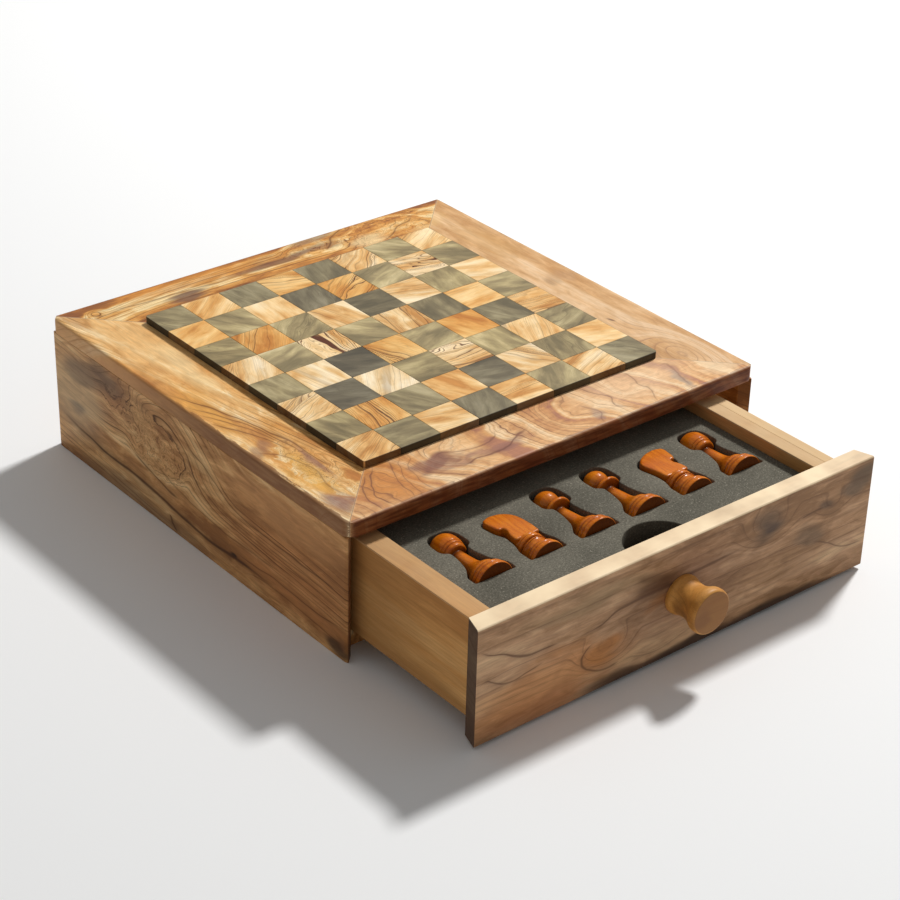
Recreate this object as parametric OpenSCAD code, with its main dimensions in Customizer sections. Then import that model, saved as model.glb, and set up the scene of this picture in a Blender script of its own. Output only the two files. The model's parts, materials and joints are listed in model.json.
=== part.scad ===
// Chess box with two drawers: a low square case of olive wood with a raised
// playing board on its mitred top, and one drawer on the front and one on the
// back, each holding one side's chessmen in cut foam.
// Millimetres, +Z up. The origin is the middle of the case's underside, the
// front is at -Y, and the front drawer is drawn out by front_drawer_out.

/* [Case] */
// Side of the square case
box_w = 300; // [290:1:340]
// Thickness of the panel under the drawers
base_t = 14; // [10:0.5:18]
// Height of the space for the drawers
bay_h = 65; // [62:0.5:80]
// Thickness of the mitred boards on top
top_t = 9.5; // [7:0.5:13]
// Width of the mitred boards on top
top_board_w = 60; // [50:1:75]
// Thickness of the two side panels
side_t = 6.5; // [6:0.5:12]
// Thickness of the divider between the two drawers
divider_t = 8; // [6:0.5:12]
// Round of the side panels' upright corners
corner_r = 4; // [2:0.5:5]
// Round of the top boards' corners
top_corner_r = 7; // [3:0.5:12]
// Round of the top boards' outer edge
edge_r = 2.6; // [1:0.2:4]

/* [Playing board] */
// Side of a whole square
square_w = 27.8; // [25:0.2:29]
// How much the outermost squares are planed down
outer_trim = 2.4; // [0:0.2:4]
// Thickness of the squares
square_t = 4.5; // [3:0.5:8]
// Glue joint between neighbouring squares
joint_w = 0.2; // [0.1:0.05:0.4]
// Round of the playing board's four corners
board_corner_r = 2; // [1:0.5:4]

/* [Drawers] */
// How far the front drawer is drawn out
front_drawer_out = 100; // [0:1:110]
// Thickness of the drawer front
front_t = 12; // [9:0.5:16]
// How far the front's ends stand in from the case's sides
front_inset = 5; // [3:0.5:7]
// Play between the front's sloping ends and the side panels' mitres
mitre_play = 0.6; // [0.4:0.1:1.2]
// Gap between the drawer front and the top boards
front_gap_top = 4.5; // [2:0.5:6]
// Gap between the drawer front and the surface the case stands on
front_gap_bottom = 2; // [1:0.5:4]
// Round of the drawer front's long edges
front_edge_r = 1.2; // [0.6:0.2:2]
// Thickness of the drawer's left wall
left_wall_t = 14; // [9:0.5:16]
// Thickness of the drawer's right wall
right_wall_t = 9; // [8:0.5:12]
// Thickness of the slip glued to the right wall
slip_t = 7; // [4:0.5:9]
// Thickness of the drawer's rear wall
rear_wall_t = 10; // [7:0.5:14]
// Thickness of the drawer's bottom
bottom_t = 3; // [2.5:0.5:4]
// How far the bottom reaches into the walls' rebates
rebate_w = 5; // [3:0.5:6]
// Width of the guide rail beside the right wall
rail_w = 18; // [12:0.5:22]
// Height of the guide rail
rail_h = 20; // [12:1:28]
// Least play between a drawer and the case's sides
side_play = 1; // [0.5:0.1:1.5]
// Play between a drawer and the panel it slides on
slide_play = 0.3; // [0.2:0.1:0.6]
// Gap behind a closed drawer and behind its front
rear_play = 2; // [1:0.5:4]

/* [Knob] */
// Diameter of the knob's face
knob_d = 27; // [22:1:32]
// How far the knob stands out
knob_len = 24; // [20:1:30]
// Height of the knob above the middle of the drawer front
knob_rise = 2.5; // [0:0.5:8]
// Distance of the knob to the right of the finger notch's middle
knob_shift = 2; // [0:0.5:6]
// Diameter of the knob's screw
screw_d = 4; // [3:0.5:5]
// How deep the screw reaches into the knob
screw_grip = 14; // [8:1:17]
// Diameter of the screw's countersunk head
screw_head_d = 8; // [7:0.5:9]
// Height of the screw's countersunk head
screw_head_h = 2.4; // [2:0.2:3]
// Radial play round the screw
screw_play = 0.1; // [0.05:0.05:0.2]

/* [Foam] */
// How far the foam lies below the drawer's rim
foam_drop = 8; // [6:0.5:12]
// Thickness of the lower foam layer
lower_foam_t = 28; // [27:0.2:30]
// Gap round each foam layer and each chessman's base
foam_gap = 0.3; // [0.2:0.05:0.4]
// Extra width of a pocket on each side of its chessman
pocket_gap = 1.4; // [1:0.1:1.8]
// Radius of the finger notch in the upper layer
notch_r = 22; // [14:1:24]
// Distance of the notch's centre from the drawer front
notch_setback = 2; // [1:0.5:6]

/* [Chessmen] */
// Radius of the officers' bases
man_r = 13.6; // [12:0.1:13.8]
// Foam left beside the first and the last man of a row
row_margin = 11.9; // [10.5:0.1:14]
// How far the row of officers stands off the foam's middle
row_shift = 4.5; // [0:0.5:6]
// Depth of the officers' axes below the foam's surface
man_sink = 5.5; // [4.5:0.5:6]
// Distance of the officers' bases from the drawer front
man_setback = 31.5; // [30:0.5:38]
// Height of a rook
rook_h = 49; // [45:0.5:54]
// Height of a knight
knight_h = 44; // [42:0.5:50]
// Thickness of the knight's sawn head
knight_t = 16; // [13:0.5:18]
// Height of a bishop
bishop_h = 51.5; // [48:0.5:56]
// Height of the queen
queen_h = 60; // [56:0.5:66]
// Height of the king
king_h = 66; // [62:0.5:72]
// Radius of a pawn's base
pawn_r = 11; // [10:0.5:12]
// Height of a pawn
pawn_h = 36; // [34:0.5:40]

/* [Hidden] */
$fn = 48;

olive = "#b07a42";
pale_wood = "#c89f6c";
light_square_colour = "#e0b77c";
dark_square_colour = "#6f6a54";
foam_colour = "#45453f";
steel_colour = "#b9bab8";
front_men_colour = "#a8531a";
back_men_colour = "#d8b27a";

half_w = box_w / 2;
under_top = base_t + bay_h;              // underside of the top boards
top_z = under_top + top_t;               // upper face of the top boards
bay_half = half_w - side_t;              // inner face of the side panels

// Drawer, as it stands closed at the front
face_y = -half_w;                        // outer plane of the drawer front
face_back = face_y + front_t;            // where the walls meet the front
rim_z = under_top - front_gap_top;
face_z = front_gap_bottom;
face_h = rim_z - face_z;
drawer_z = base_t + slide_play;          // lower edge of the walls
rear_y = -divider_t / 2 - rear_play;     // back of the rear wall
front_w0 = half_w - front_inset;         // half width of the front's outer face
front_w1 = min(front_w0 - (front_w0 - bay_half + mitre_play) * front_t / side_t,
               bay_half - side_play);    // half width of its back, inside the mitres
left_out = -front_w1;
left_in = left_out + left_wall_t;
slip_out = bay_half - rail_w - side_play;
right_out = slip_out - slip_t;
right_in = right_out - right_wall_t;
rear_in = rear_y - rear_wall_t;
floor_z = drawer_z + bottom_t;           // where the foam stands
case_edge = -face_back - rear_play;      // front and back ends of the base panel
rail_end = case_edge - side_t;           // rails stop clear of the mitred ends

// Foam
foam_top = rim_z - foam_drop;
upper_foam_z = floor_z + lower_foam_t;
upper_foam_t = foam_top - upper_foam_z;
foam_x0 = left_in + foam_gap;
foam_x1 = right_in - foam_gap;
foam_y0 = face_back + foam_gap;
foam_y1 = rear_in - foam_gap;
foam_mid = (foam_x0 + foam_x1) / 2;

// Chessmen: six columns, from left to right
man_pitch = (foam_x1 - foam_x0 - 2 * (row_margin + man_r)) / 5;
row_mid = foam_mid + row_shift;
function column_x(i) = row_mid + (i - 2.5) * man_pitch;
man_z = foam_top - man_sink;             // height of the officers' axes
base_y = face_back + man_setback;        // where the officers' bases stand
lower_axis_z = floor_z + man_r + foam_gap;
pawn_axis_z = floor_z + pawn_r + foam_gap;
stem_r = 6;                              // thin part of every officer
pawn_stem_r = 4.6;
bell_top = 24;                           // height where the bell ends in the stem
pawn_bell_top = 16;
knight_neck = 17;                        // height where the knight's sawn head starts
rook_neck = 32;                          // height of the groove under the rook's head
bishop_neck = 33.5;
queen_neck = 37;
king_neck = 40;
pawn_neck = 20;
head_r = 9.6;                            // widest part of the officers' heads
bishop_ball_r = 7.6;
queen_head_r = 10.4;
king_head_r = 10.6;
pawn_ball_r = 6.6;
lower_land = 12;                         // foam before each row in the lower layer
lower_row_y = face_back + lower_land;    // bases of the men in the lower layer
pawn_step = pawn_h + lower_land;         // from one row of pawns to the next

// ---- Shared forms ----

// A block given by its two corners
module block(low, high) {
    translate(low) cube(high - low);
}

// Square plan with rounded corners, centred on the origin
module rounded_plan(half, r) {
    side = half - r;
    union() {
        square([2 * side, 2 * half], center = true);
        square([2 * half, 2 * side], center = true);
        for (x = [-side, side], y = [-side, side]) translate([x, y]) circle(r);
    }
}

// Section with two rounded corners on its +X side
module rounded_bar(w, h, r_low, r_high) {
    union() {
        square([w - max(r_low, r_high), h]);
        translate([0, r_low]) square([w, h - r_low - r_high]);
        translate([w - r_low, r_low]) circle(r_low);
        translate([w - r_high, h - r_high]) circle(r_high);
    }
}

// Curve from point p to point q, both [radius, height]: the radius closes in on
// q's quickly at first and then ever more slowly
function sweep_in(p, q, steps = 6) =
    [for (i = [1:steps]) let (t = i / steps)
        [q[0] + (p[0] - q[0]) * pow(1 - t, 2.2), p[1] + (q[1] - p[1]) * t]];

// Points on a ball of radius r centred at height h, between two angles
function ball(r, h, from, to, steps = 8) =
    [for (i = [0:steps]) let (a = from + (to - from) * i / steps)
        [r * cos(a), h + r * sin(a)]];

// Height of the disc and the shoulder of a foot of radius r
function foot_h(r) = 0.68 * r;

// Foot shared by all the men: a disc with a soft edge, a round shoulder and a bell
function foot(r, stem, top) = let (h = foot_h(r)) concat(
    [[0, 0], [r * 0.96, 0], [r, 0.7], [r, 2], [r * 0.96, 2.6], [r * 0.935, 3.2],
     [r * 0.95, h * 0.45], [r * 0.945, h * 0.6], [r * 0.92, h * 0.8], [r * 0.86, h]],
    sweep_in([r * 0.86, h], [stem, top]));

// Bead round a profile: widest point r at height h
function bead(r, h, t) = [[r - t * 0.4, h - t / 2], [r, h - t / 5], [r, h + t / 5],
                          [r - t * 0.4, h + t / 2]];

function rook_profile() = concat(
    foot(man_r, stem_r, bell_top),
    [[stem_r * 0.96, rook_neck - 1.6], [stem_r * 1.02, rook_neck - 0.6]],
    [[head_r * 0.72, rook_neck], [head_r * 0.78, rook_neck + 1.1],
     [head_r * 0.74, rook_neck + 1.5], [head_r * 0.88, rook_neck + 2.8],
     [head_r * 0.85, rook_neck + 3.3], [head_r * 0.96, rook_neck + 5],
     [head_r * 0.94, rook_neck + 5.5], [head_r, rook_neck + 8]],
    [for (a = [15:15:75]) [head_r * cos(a), rook_h - (rook_h - rook_neck - 9) * (1 - sin(a))]],
    [[0, rook_h]]);

function bishop_profile() = concat(
    foot(man_r, stem_r, bell_top),
    [[stem_r * 0.9, bishop_neck - 1]],
    bead(head_r, bishop_neck + 1, 2.6),
    [[stem_r * 0.9, bishop_neck + 3]],
    ball(bishop_ball_r, bishop_h - bishop_ball_r, -52, 78, 10),
    [[0, bishop_h]]);

function queen_profile() = concat(
    foot(man_r, stem_r, bell_top),
    [[stem_r * 0.9, queen_neck - 1]],
    bead(head_r, queen_neck + 1, 2.6),
    [[stem_r * 1.1, queen_neck + 3.2]],
    sweep_in([stem_r * 1.1, queen_neck + 3.2], [queen_head_r, queen_h - 8]),
    [[queen_head_r, queen_h - 6.4], [queen_head_r * 0.82, queen_h - 5]],
    ball(4, queen_h - 4, 5, 75, 5),
    [[0, queen_h]]);

function king_profile() = concat(
    foot(man_r, stem_r, bell_top),
    [[stem_r * 0.9, king_neck - 1]],
    bead(head_r, king_neck + 1, 2.6),
    [[stem_r * 1.2, king_neck + 3.2]],
    sweep_in([stem_r * 1.2, king_neck + 3.2], [king_head_r, king_h - 12]),
    [[king_head_r, king_h - 10], [king_head_r * 0.7, king_h - 8.4],
     [2.6, king_h - 7.4], [2.2, king_h - 6]],
    ball(3.2, king_h - 3.2, -40, 75, 6),
    [[0, king_h]]);

function pawn_profile() = concat(
    foot(pawn_r, pawn_stem_r, pawn_bell_top),
    [[pawn_stem_r * 0.9, pawn_neck - 1]],
    bead(pawn_r * 0.68, pawn_neck + 0.6, 2),
    [[pawn_stem_r, pawn_neck + 2.2]],
    ball(pawn_ball_r, pawn_h - pawn_ball_r, -50, 78, 9),
    [[0, pawn_h]]);

// Turned body under the knight's head
function knight_foot_profile() = concat(
    foot(man_r, head_r * 0.84, knight_neck - 4.4),
    bead(head_r, knight_neck - 2.8, 2.6),
    bead(head_r * 0.96, knight_neck, 2.4),
    [[head_r * 0.8, knight_neck + 1.6], [0, knight_neck + 1.6]]);

// Outline of the sawn head, muzzle towards -X, as [x, height]
function knight_outline() = [
    [7.6, knight_neck], [8, knight_neck + 9], [6.8, knight_h - 7.5], [3.6, knight_h - 3.2],
    [-1, knight_h - 0.6], [-6, knight_h], [-10.8, knight_h - 2], [-11.6, knight_h - 4.4],
    [-10, knight_h - 12], [-8.6, knight_h - 13.2], [-5.4, knight_h - 13],
    [-4.6, knight_h - 15.6], [-6.6, knight_neck + 5], [-7.4, knight_neck]];

// Outline that a pocket follows round a turned man: foot, stem and head
function turned_outline(r, stem, bell, neck, head, h) = let (g = pocket_gap)
    [[r + g, -foam_gap], [r + g, foot_h(r)], [stem + g + 1, bell + 1], [stem + g + 0.4, neck - 1.5],
     [head + g, neck + 1], [head + g, h - 5], [head * 0.6 + g, h + g],
     [-head * 0.6 - g, h + g], [-head - g, h - 5], [-head - g, neck + 1],
     [-stem - g - 0.4, neck - 1.5], [-stem - g - 1, bell + 1], [-r - g, foot_h(r)],
     [-r - g, -foam_gap]];

// Outline that a pocket follows round a knight
function knight_pocket_outline() = let (g = pocket_gap, r = man_r)
    [[r + g, -foam_gap], [r + g, foot_h(r)], [head_r + g, knight_neck - 1.5],
     [8 + g, knight_neck + 9], [6.8 + g, knight_h - 7], [3.6 + g, knight_h - 2.4 + g / 2],
     [-6, knight_h + g], [-10.8 - g, knight_h - 1.6 + g / 2], [-11.6 - g, knight_h - 4.4],
     [-10.2 - g, knight_h - 12.8 - g], [-7, knight_h - 14 - g], [-6.8 - g, knight_neck + 5],
     [-head_r - g, knight_neck - 1.5], [-r - g, foot_h(r)], [-r - g, -foam_gap]];

// The same outline turned the other way round
function flipped(outline) = [for (p = outline) [-p[0], p[1]]];

// Lays a man down: base at [x, y], axis at height z, head towards +Y
module lay(x, y, z) {
    translate([x, y, z]) rotate([-90, 0, 0]) children();
}

module turned_man(profile) {
    rotate_extrude() polygon(profile);
}

module pocket(x, y, z, depth, outline) {
    translate([x, y, z]) linear_extrude(depth) polygon(outline);
}

// Knight: a turned foot and a head sawn from a flat piece along its outline
module knight(outline) {
    union() {
        turned_man(knight_foot_profile());
        rotate([90, 0, 0]) translate([0, 0, -knight_t / 2])
            linear_extrude(knight_t) polygon(outline);
    }
}

// ---- Case ----

module base_panel() {
    color(olive) block([-bay_half, -case_edge, 0], [bay_half, case_edge, base_t]);
}

// Side panel at +X with mitred ends; the drawer fronts close against the mitres
module side_panel() {
    color(olive) linear_extrude(under_top) intersection() {
        rounded_plan(half_w, corner_r);
        polygon([[half_w, -half_w], [half_w, half_w],
                 [bay_half, half_w - side_t], [bay_half, -half_w + side_t]]);
    }
}

module bay_divider() {
    color(pale_wood)
        block([-bay_half, -divider_t / 2, base_t], [bay_half, divider_t / 2, under_top]);
}

// Rail that fills the space beside the drawer's right wall
module guide_rail() {
    color(pale_wood)
        block([bay_half - rail_w, -rail_end, base_t],
              [bay_half, -divider_t / 2, base_t + rail_h]);
}

// Mitred top board along the front
module top_board() {
    color(olive) intersection() {
        translate([0, 0, under_top]) linear_extrude(top_t) intersection() {
            rounded_plan(half_w, top_corner_r);
            polygon([[-half_w, -half_w], [half_w, -half_w],
                     [half_w - top_board_w, -half_w + top_board_w],
                     [-half_w + top_board_w, -half_w + top_board_w]]);
        }
        translate([-half_w - 1, -half_w + top_board_w, under_top])
            rotate([90, 0, 90]) mirror([1, 0, 0]) linear_extrude(box_w + 2)
                rounded_bar(top_board_w, top_t, 0.4, edge_r);
    }
}

module top_core() {
    side = half_w - top_board_w;
    color(pale_wood) block([-side, -side, under_top], [side, side, top_z]);
}

// ---- Playing board ----

// Start of square i along one side of the board, with the outer ones trimmed
function square_start(i) = (i - 4) * square_w + (i == 0 ? outer_trim : joint_w / 2);
function square_end(i) = (i - 3) * square_w - (i == 7 ? outer_trim : joint_w / 2);

// Squares of one colour; the front left square is light
module squares(parity) {
    intersection() {
        for (i = [0:7], j = [0:7]) if ((i + j) % 2 == parity)
            block([square_start(i), square_start(j), top_z],
                  [square_end(i), square_end(j), top_z + square_t]);
        translate([0, 0, top_z]) linear_extrude(square_t)
            rounded_plan(4 * square_w - outer_trim, board_corner_r);
    }
}

module light_squares() {
    color(light_square_colour) squares(0);
}

module dark_squares() {
    color(dark_square_colour) squares(1);
}

// ---- Drawer, closed at the front ----

knob_z = face_z + face_h / 2 + knob_rise;
knob_x = row_mid + knob_shift;
screw_bore_r = screw_d / 2 + screw_play;

module knob_bore(y0, y1) {
    translate([knob_x, y0, knob_z]) rotate([-90, 0, 0]) cylinder(r = screw_bore_r, h = y1 - y0);
}

module drawer_face() {
    color(olive) difference() {
        intersection() {
            translate([0, 0, face_z]) linear_extrude(face_h)
                polygon([[-front_w0, face_y], [front_w0, face_y],
                         [front_w1, face_back], [-front_w1, face_back]]);
            translate([-half_w, face_back, face_z]) rotate([90, 0, 90]) mirror([1, 0, 0])
                linear_extrude(box_w) rounded_bar(front_t, face_h, front_edge_r, front_edge_r);
        }
        knob_bore(face_y - 1, face_back + 1);
        translate([knob_x, face_back - screw_head_h, knob_z]) rotate([-90, 0, 0])
            cylinder(r1 = screw_bore_r + screw_play, r2 = screw_head_d / 2 + 2 * screw_play,
                     h = screw_head_h + 0.001);
    }
}

// Rebate along the walls' lower inner edge, for the bottom
module bottom_space() {
    block([left_in - rebate_w, face_back, drawer_z - 1],
          [right_in + rebate_w, rear_in + rebate_w, floor_z]);
}

module drawer_left_wall() {
    color(pale_wood) difference() {
        block([left_out, face_back, drawer_z], [left_in, rear_y, rim_z]);
        bottom_space();
    }
}

module drawer_right_wall() {
    color(pale_wood) difference() {
        block([right_in, face_back, drawer_z], [right_out, rear_y, rim_z]);
        bottom_space();
    }
}

module drawer_slip() {
    color(pale_wood) block([right_out, face_back, drawer_z], [slip_out, rear_y, rim_z]);
}

module drawer_rear_wall() {
    color(pale_wood) difference() {
        block([left_in, rear_in, drawer_z], [right_in, rear_y, rim_z]);
        bottom_space();
    }
}

module drawer_bottom() {
    color(pale_wood)
        block([left_in - rebate_w, face_back, drawer_z],
              [right_in + rebate_w, rear_in + rebate_w, floor_z]);
}

module knob() {
    r = knob_d / 2;
    color(pale_wood) difference() {
        translate([knob_x, face_y, knob_z]) rotate([90, 0, 0]) rotate_extrude()
            polygon([[0, 0], [r * 0.96, 0], [r, 0.8], [r, 2.2], [r * 0.93, 3.6],
                     [r * 0.82, 5.6], [r * 0.76, knob_len * 0.34], [r * 0.74, knob_len * 0.46],
                     [r * 0.78, knob_len * 0.58], [r * 0.9, knob_len * 0.7],
                     [r * 0.97, knob_len * 0.76], [r, knob_len * 0.82], [r, knob_len - 1.6],
                     [r * 0.96, knob_len - 0.5], [r * 0.9, knob_len], [0, knob_len]]);
        knob_bore(face_y - screw_grip - 1, face_y + 1);
    }
}

module knob_screw() {
    head_y = face_back - screw_play;
    color(steel_colour) translate([knob_x, head_y, knob_z]) rotate([90, 0, 0]) union() {
        cylinder(r1 = screw_head_d / 2, r2 = screw_d / 2, h = screw_head_h);
        cylinder(r = screw_d / 2, h = front_t + screw_grip - screw_play);
    }
}

// ---- Foam and chessmen, in a closed front drawer ----

module lower_foam() {
    color(foam_colour) difference() {
        block([foam_x0, foam_y0, floor_z], [foam_x1, foam_y1, upper_foam_z]);
        pocket(column_x(0), lower_row_y, floor_z - 1, lower_foam_t + 2,
               turned_outline(man_r, stem_r, bell_top, king_neck, king_head_r, king_h));
        pocket(column_x(1), lower_row_y, floor_z - 1, lower_foam_t + 2,
               turned_outline(man_r, stem_r, bell_top, queen_neck, queen_head_r, queen_h));
        for (i = [2:5], j = [0, 1])
            pocket(column_x(i), lower_row_y + j * pawn_step, floor_z - 1, lower_foam_t + 2,
                   turned_outline(pawn_r, pawn_stem_r, pawn_bell_top, pawn_neck,
                                  pawn_ball_r + 1, pawn_h));
    }
}

module upper_foam() {
    pocket_z = man_z - man_r - foam_gap;
    depth = foam_top - pocket_z + 1;
    color(foam_colour) difference() {
        block([foam_x0, foam_y0, upper_foam_z], [foam_x1, foam_y1, foam_top]);
        for (i = [0, 5]) pocket(column_x(i), base_y, pocket_z, depth,
            turned_outline(man_r, stem_r, bell_top, rook_neck, head_r, rook_h));
        for (i = [2, 3]) pocket(column_x(i), base_y, pocket_z, depth,
            turned_outline(man_r, stem_r, bell_top, bishop_neck, head_r, bishop_h));
        for (i = [1, 4]) pocket(column_x(i), base_y, pocket_z, depth,
            i == 1 ? knight_pocket_outline() : flipped(knight_pocket_outline()));
        translate([row_mid, face_back + notch_setback, upper_foam_z - 1])
            cylinder(r = notch_r, h = upper_foam_t + 2);
    }
}

module rooks() {
    for (i = [0, 5]) lay(column_x(i), base_y, man_z) turned_man(rook_profile());
}

module knights() {
    lay(column_x(1), base_y, man_z) knight(knight_outline());
    lay(column_x(4), base_y, man_z) knight(flipped(knight_outline()));
}

module bishops() {
    for (i = [2, 3]) lay(column_x(i), base_y, man_z) turned_man(bishop_profile());
}

module queen() {
    lay(column_x(1), lower_row_y, lower_axis_z) turned_man(queen_profile());
}

module king() {
    lay(column_x(0), lower_row_y, lower_axis_z) turned_man(king_profile());
}

module pawns() {
    for (i = [2:5], j = [0, 1])
        lay(column_x(i), lower_row_y + j * pawn_step, pawn_axis_z) turned_man(pawn_profile());
}

// ---- Places ----

module in_front() {
    translate([0, -front_drawer_out, 0]) children();
}

module in_back() {
    rotate([0, 0, 180]) children();
}

base_panel();
rotate([0, 0, 180]) side_panel();  // left_side_panel
side_panel();  // right_side_panel
bay_divider();
guide_rail();  // front_guide_rail
in_back() guide_rail();  // back_guide_rail
top_board();  // front_top_board
rotate([0, 0, 90]) top_board();  // right_top_board
rotate([0, 0, 180]) top_board();  // back_top_board
rotate([0, 0, 270]) top_board();  // left_top_board
top_core();
light_squares();
dark_squares();

in_front() drawer_face();  // front_drawer_face
in_front() drawer_left_wall();  // front_drawer_left_wall
in_front() drawer_right_wall();  // front_drawer_right_wall
in_front() drawer_slip();  // front_drawer_slip
in_front() drawer_rear_wall();  // front_drawer_rear_wall
in_front() drawer_bottom();  // front_drawer_bottom
in_front() knob();  // front_knob
in_front() knob_screw();  // front_knob_screw
in_front() lower_foam();  // front_lower_foam
in_front() upper_foam();  // front_upper_foam
color(front_men_colour) in_front() rooks();  // front_rooks
color(front_men_colour) in_front() knights();  // front_knights
color(front_men_colour) in_front() bishops();  // front_bishops
color(front_men_colour) in_front() queen();  // front_queen
color(front_men_colour) in_front() king();  // front_king
color(front_men_colour) in_front() pawns();  // front_pawns

in_back() drawer_face();  // back_drawer_face
in_back() drawer_left_wall();  // back_drawer_left_wall
in_back() drawer_right_wall();  // back_drawer_right_wall
in_back() drawer_slip();  // back_drawer_slip
in_back() drawer_rear_wall();  // back_drawer_rear_wall
in_back() drawer_bottom();  // back_drawer_bottom
in_back() knob();  // back_knob
in_back() knob_screw();  // back_knob_screw
in_back() lower_foam();  // back_lower_foam
in_back() upper_foam();  // back_upper_foam
color(back_men_colour) in_back() rooks();  // back_rooks
color(back_men_colour) in_back() knights();  // back_knights
color(back_men_colour) in_back() bishops();  // back_bishops
color(back_men_colour) in_back() queen();  // back_queen
color(back_men_colour) in_back() king();  // back_king
color(back_men_colour) in_back() pawns();  // back_pawns
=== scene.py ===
# Chess box of olive wood with a drawer at the front and one at the back: the looks round the packed
# frame. Settings are in millimetres, meshes in metres.

import json
import math

import bmesh
import bpy
import numpy as np
from mathutils import Matrix, Vector
from mathutils.geometry import delaunay_2d_cdt


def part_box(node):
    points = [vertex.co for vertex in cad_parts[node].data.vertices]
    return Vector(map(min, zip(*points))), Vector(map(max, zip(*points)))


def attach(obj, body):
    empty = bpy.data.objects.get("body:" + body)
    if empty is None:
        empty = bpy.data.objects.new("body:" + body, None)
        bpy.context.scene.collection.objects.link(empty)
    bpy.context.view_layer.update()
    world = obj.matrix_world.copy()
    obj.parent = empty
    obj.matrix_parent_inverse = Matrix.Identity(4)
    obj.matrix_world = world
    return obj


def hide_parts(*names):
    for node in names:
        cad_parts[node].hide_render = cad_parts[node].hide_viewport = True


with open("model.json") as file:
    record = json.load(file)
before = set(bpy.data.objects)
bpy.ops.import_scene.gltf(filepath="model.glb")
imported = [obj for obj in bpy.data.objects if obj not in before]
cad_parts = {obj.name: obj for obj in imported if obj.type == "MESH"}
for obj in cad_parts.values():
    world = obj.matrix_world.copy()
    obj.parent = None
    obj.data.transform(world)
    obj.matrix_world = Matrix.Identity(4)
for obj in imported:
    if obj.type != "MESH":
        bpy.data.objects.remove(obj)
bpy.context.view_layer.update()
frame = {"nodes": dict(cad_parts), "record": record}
mm = 0.001
caseDepth = 300
mergeDistance = 2e-6  # m: corners closer than this are one
hairline = 1e-7  # m: faces thinner than this are dropped
bodyOf = {}
for bodyName, members in frame["record"]["behaviour"]["bodies"].items():
    for member in members:
        bodyOf[member] = bodyName
print("frame loaded:", len(frame["nodes"]), "nodes")

# The back drawer is the front one pushed home and turned half round: sign of x and y, shift of y in m
ends = {"front": (1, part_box("front_drawer_face")[0].y + caseDepth / 2 * mm), "back": (-1, 0.0)}


def closedBox(node):
    # Low and high corner in mm of a node of the front drawer, as if the drawer were closed
    shift = Vector((0, ends["front"][1], 0))
    low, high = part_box(node)
    return np.array(low - shift) / mm, np.array(high - shift) / mm


def linearColour(hexColour):
    # sRGB hex to the linear values that a shader takes
    values = [int(hexColour[i : i + 2], 16) / 255 for i in (1, 3, 5)]
    return [v / 12.92 if v <= 0.04045 else ((v + 0.055) / 1.055) ** 2.4 for v in values] + [1.0]


curveSpan = 320  # mm, longer than any board


def addNode(tree, kind, inputs=(), stops=None, curve=None, **settings):
    # A shader node with its settings and links. Inputs go by name in a dictionary, or in a list in the
    # order of the sockets: a MapRange takes value, from low, from high, to low, to high, and a MixRGB
    # share, first colour, second colour. An input is a value, a socket, or a node for its first output.
    # A curve's points are in mm, from minus half the curve's span to half of it
    made = tree.nodes.new("ShaderNode" + kind)
    for name, value in settings.items():
        setattr(made, name, value)
    if stops:
        ramp = made.color_ramp
        while len(ramp.elements) < len(stops):
            ramp.elements.new(0.5)
        for element, (position, colour) in zip(ramp.elements, stops):
            element.position = position
            element.color = linearColour(colour) if isinstance(colour, str) else [colour] * 3 + [1]
    if curve:
        points = made.mapping.curves[0].points
        while len(points) < len(curve):
            points.new(0.5, 0.5)
        for point, (along, side) in zip(points, sorted(curve)):
            point.location = (along / curveSpan + 0.5, side / curveSpan + 0.5)
        made.mapping.update()
    for key, value in inputs.items() if isinstance(inputs, dict) else enumerate(inputs):
        if isinstance(value, bpy.types.Node):
            value = value.outputs[0]
        if isinstance(value, bpy.types.NodeSocket):
            tree.links.new(value, made.inputs[key])
        else:
            made.inputs[key].default_value = value
    return made


def newMaterial(name):
    material = bpy.data.materials.new(name)
    material.use_nodes = True
    material.node_tree.nodes.clear()
    return material, material.node_tree


def dress(piece, material):
    piece.data.materials.clear()
    piece.data.materials.append(material)


def placePiece(piece, node, material):
    # The piece stands for a CAD node and rides on the body that carries it
    dress(piece, material)
    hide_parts(node)
    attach(piece, bodyOf[node])


def closedPiece(name, bm, smoothAngle):
    # Merges doubles, turns the faces outward and shades smooth up to an angle
    bmesh.ops.remove_doubles(bm, verts=bm.verts, dist=mergeDistance)
    bmesh.ops.dissolve_degenerate(bm, dist=hairline, edges=bm.edges)
    bmesh.ops.recalc_face_normals(bm, faces=bm.faces)
    mesh = bpy.data.meshes.new(name)
    bm.to_mesh(mesh)
    bm.free()
    mesh.polygons.foreach_set("use_smooth", np.ones(len(mesh.polygons), bool))
    mesh.set_sharp_from_angle(angle=math.radians(smoothAngle))
    piece = bpy.data.objects.new(name, mesh)
    bpy.context.scene.collection.objects.link(piece)
    return piece


def gridFaces(rows, columns, start=0):
    # Quads between rows that close round on themselves
    r, c = np.meshgrid(np.arange(rows - 1), np.arange(columns), indexing="ij")
    nextC = (c + 1) % columns
    corners = (r * columns + c, r * columns + nextC, (r + 1) * columns + nextC, (r + 1) * columns + c)
    return (np.stack(corners, -1).reshape(-1, 4) + start).tolist()


def meshFrom(points, faces, stainAndShade=None):
    # A bmesh from arrays, with a value per vertex of stain and painted shade where one is given
    mesh = bpy.data.meshes.new("work")
    mesh.from_pydata(points.tolist(), [], faces)
    if stainAndShade is not None:
        mesh.attributes.new("stainAndShade", "FLOAT", "POINT").data.foreach_set("value", stainAndShade.astype(np.float32))
    bm = bmesh.new()
    bm.from_mesh(mesh)
    bpy.data.meshes.remove(mesh)
    return bm


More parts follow.
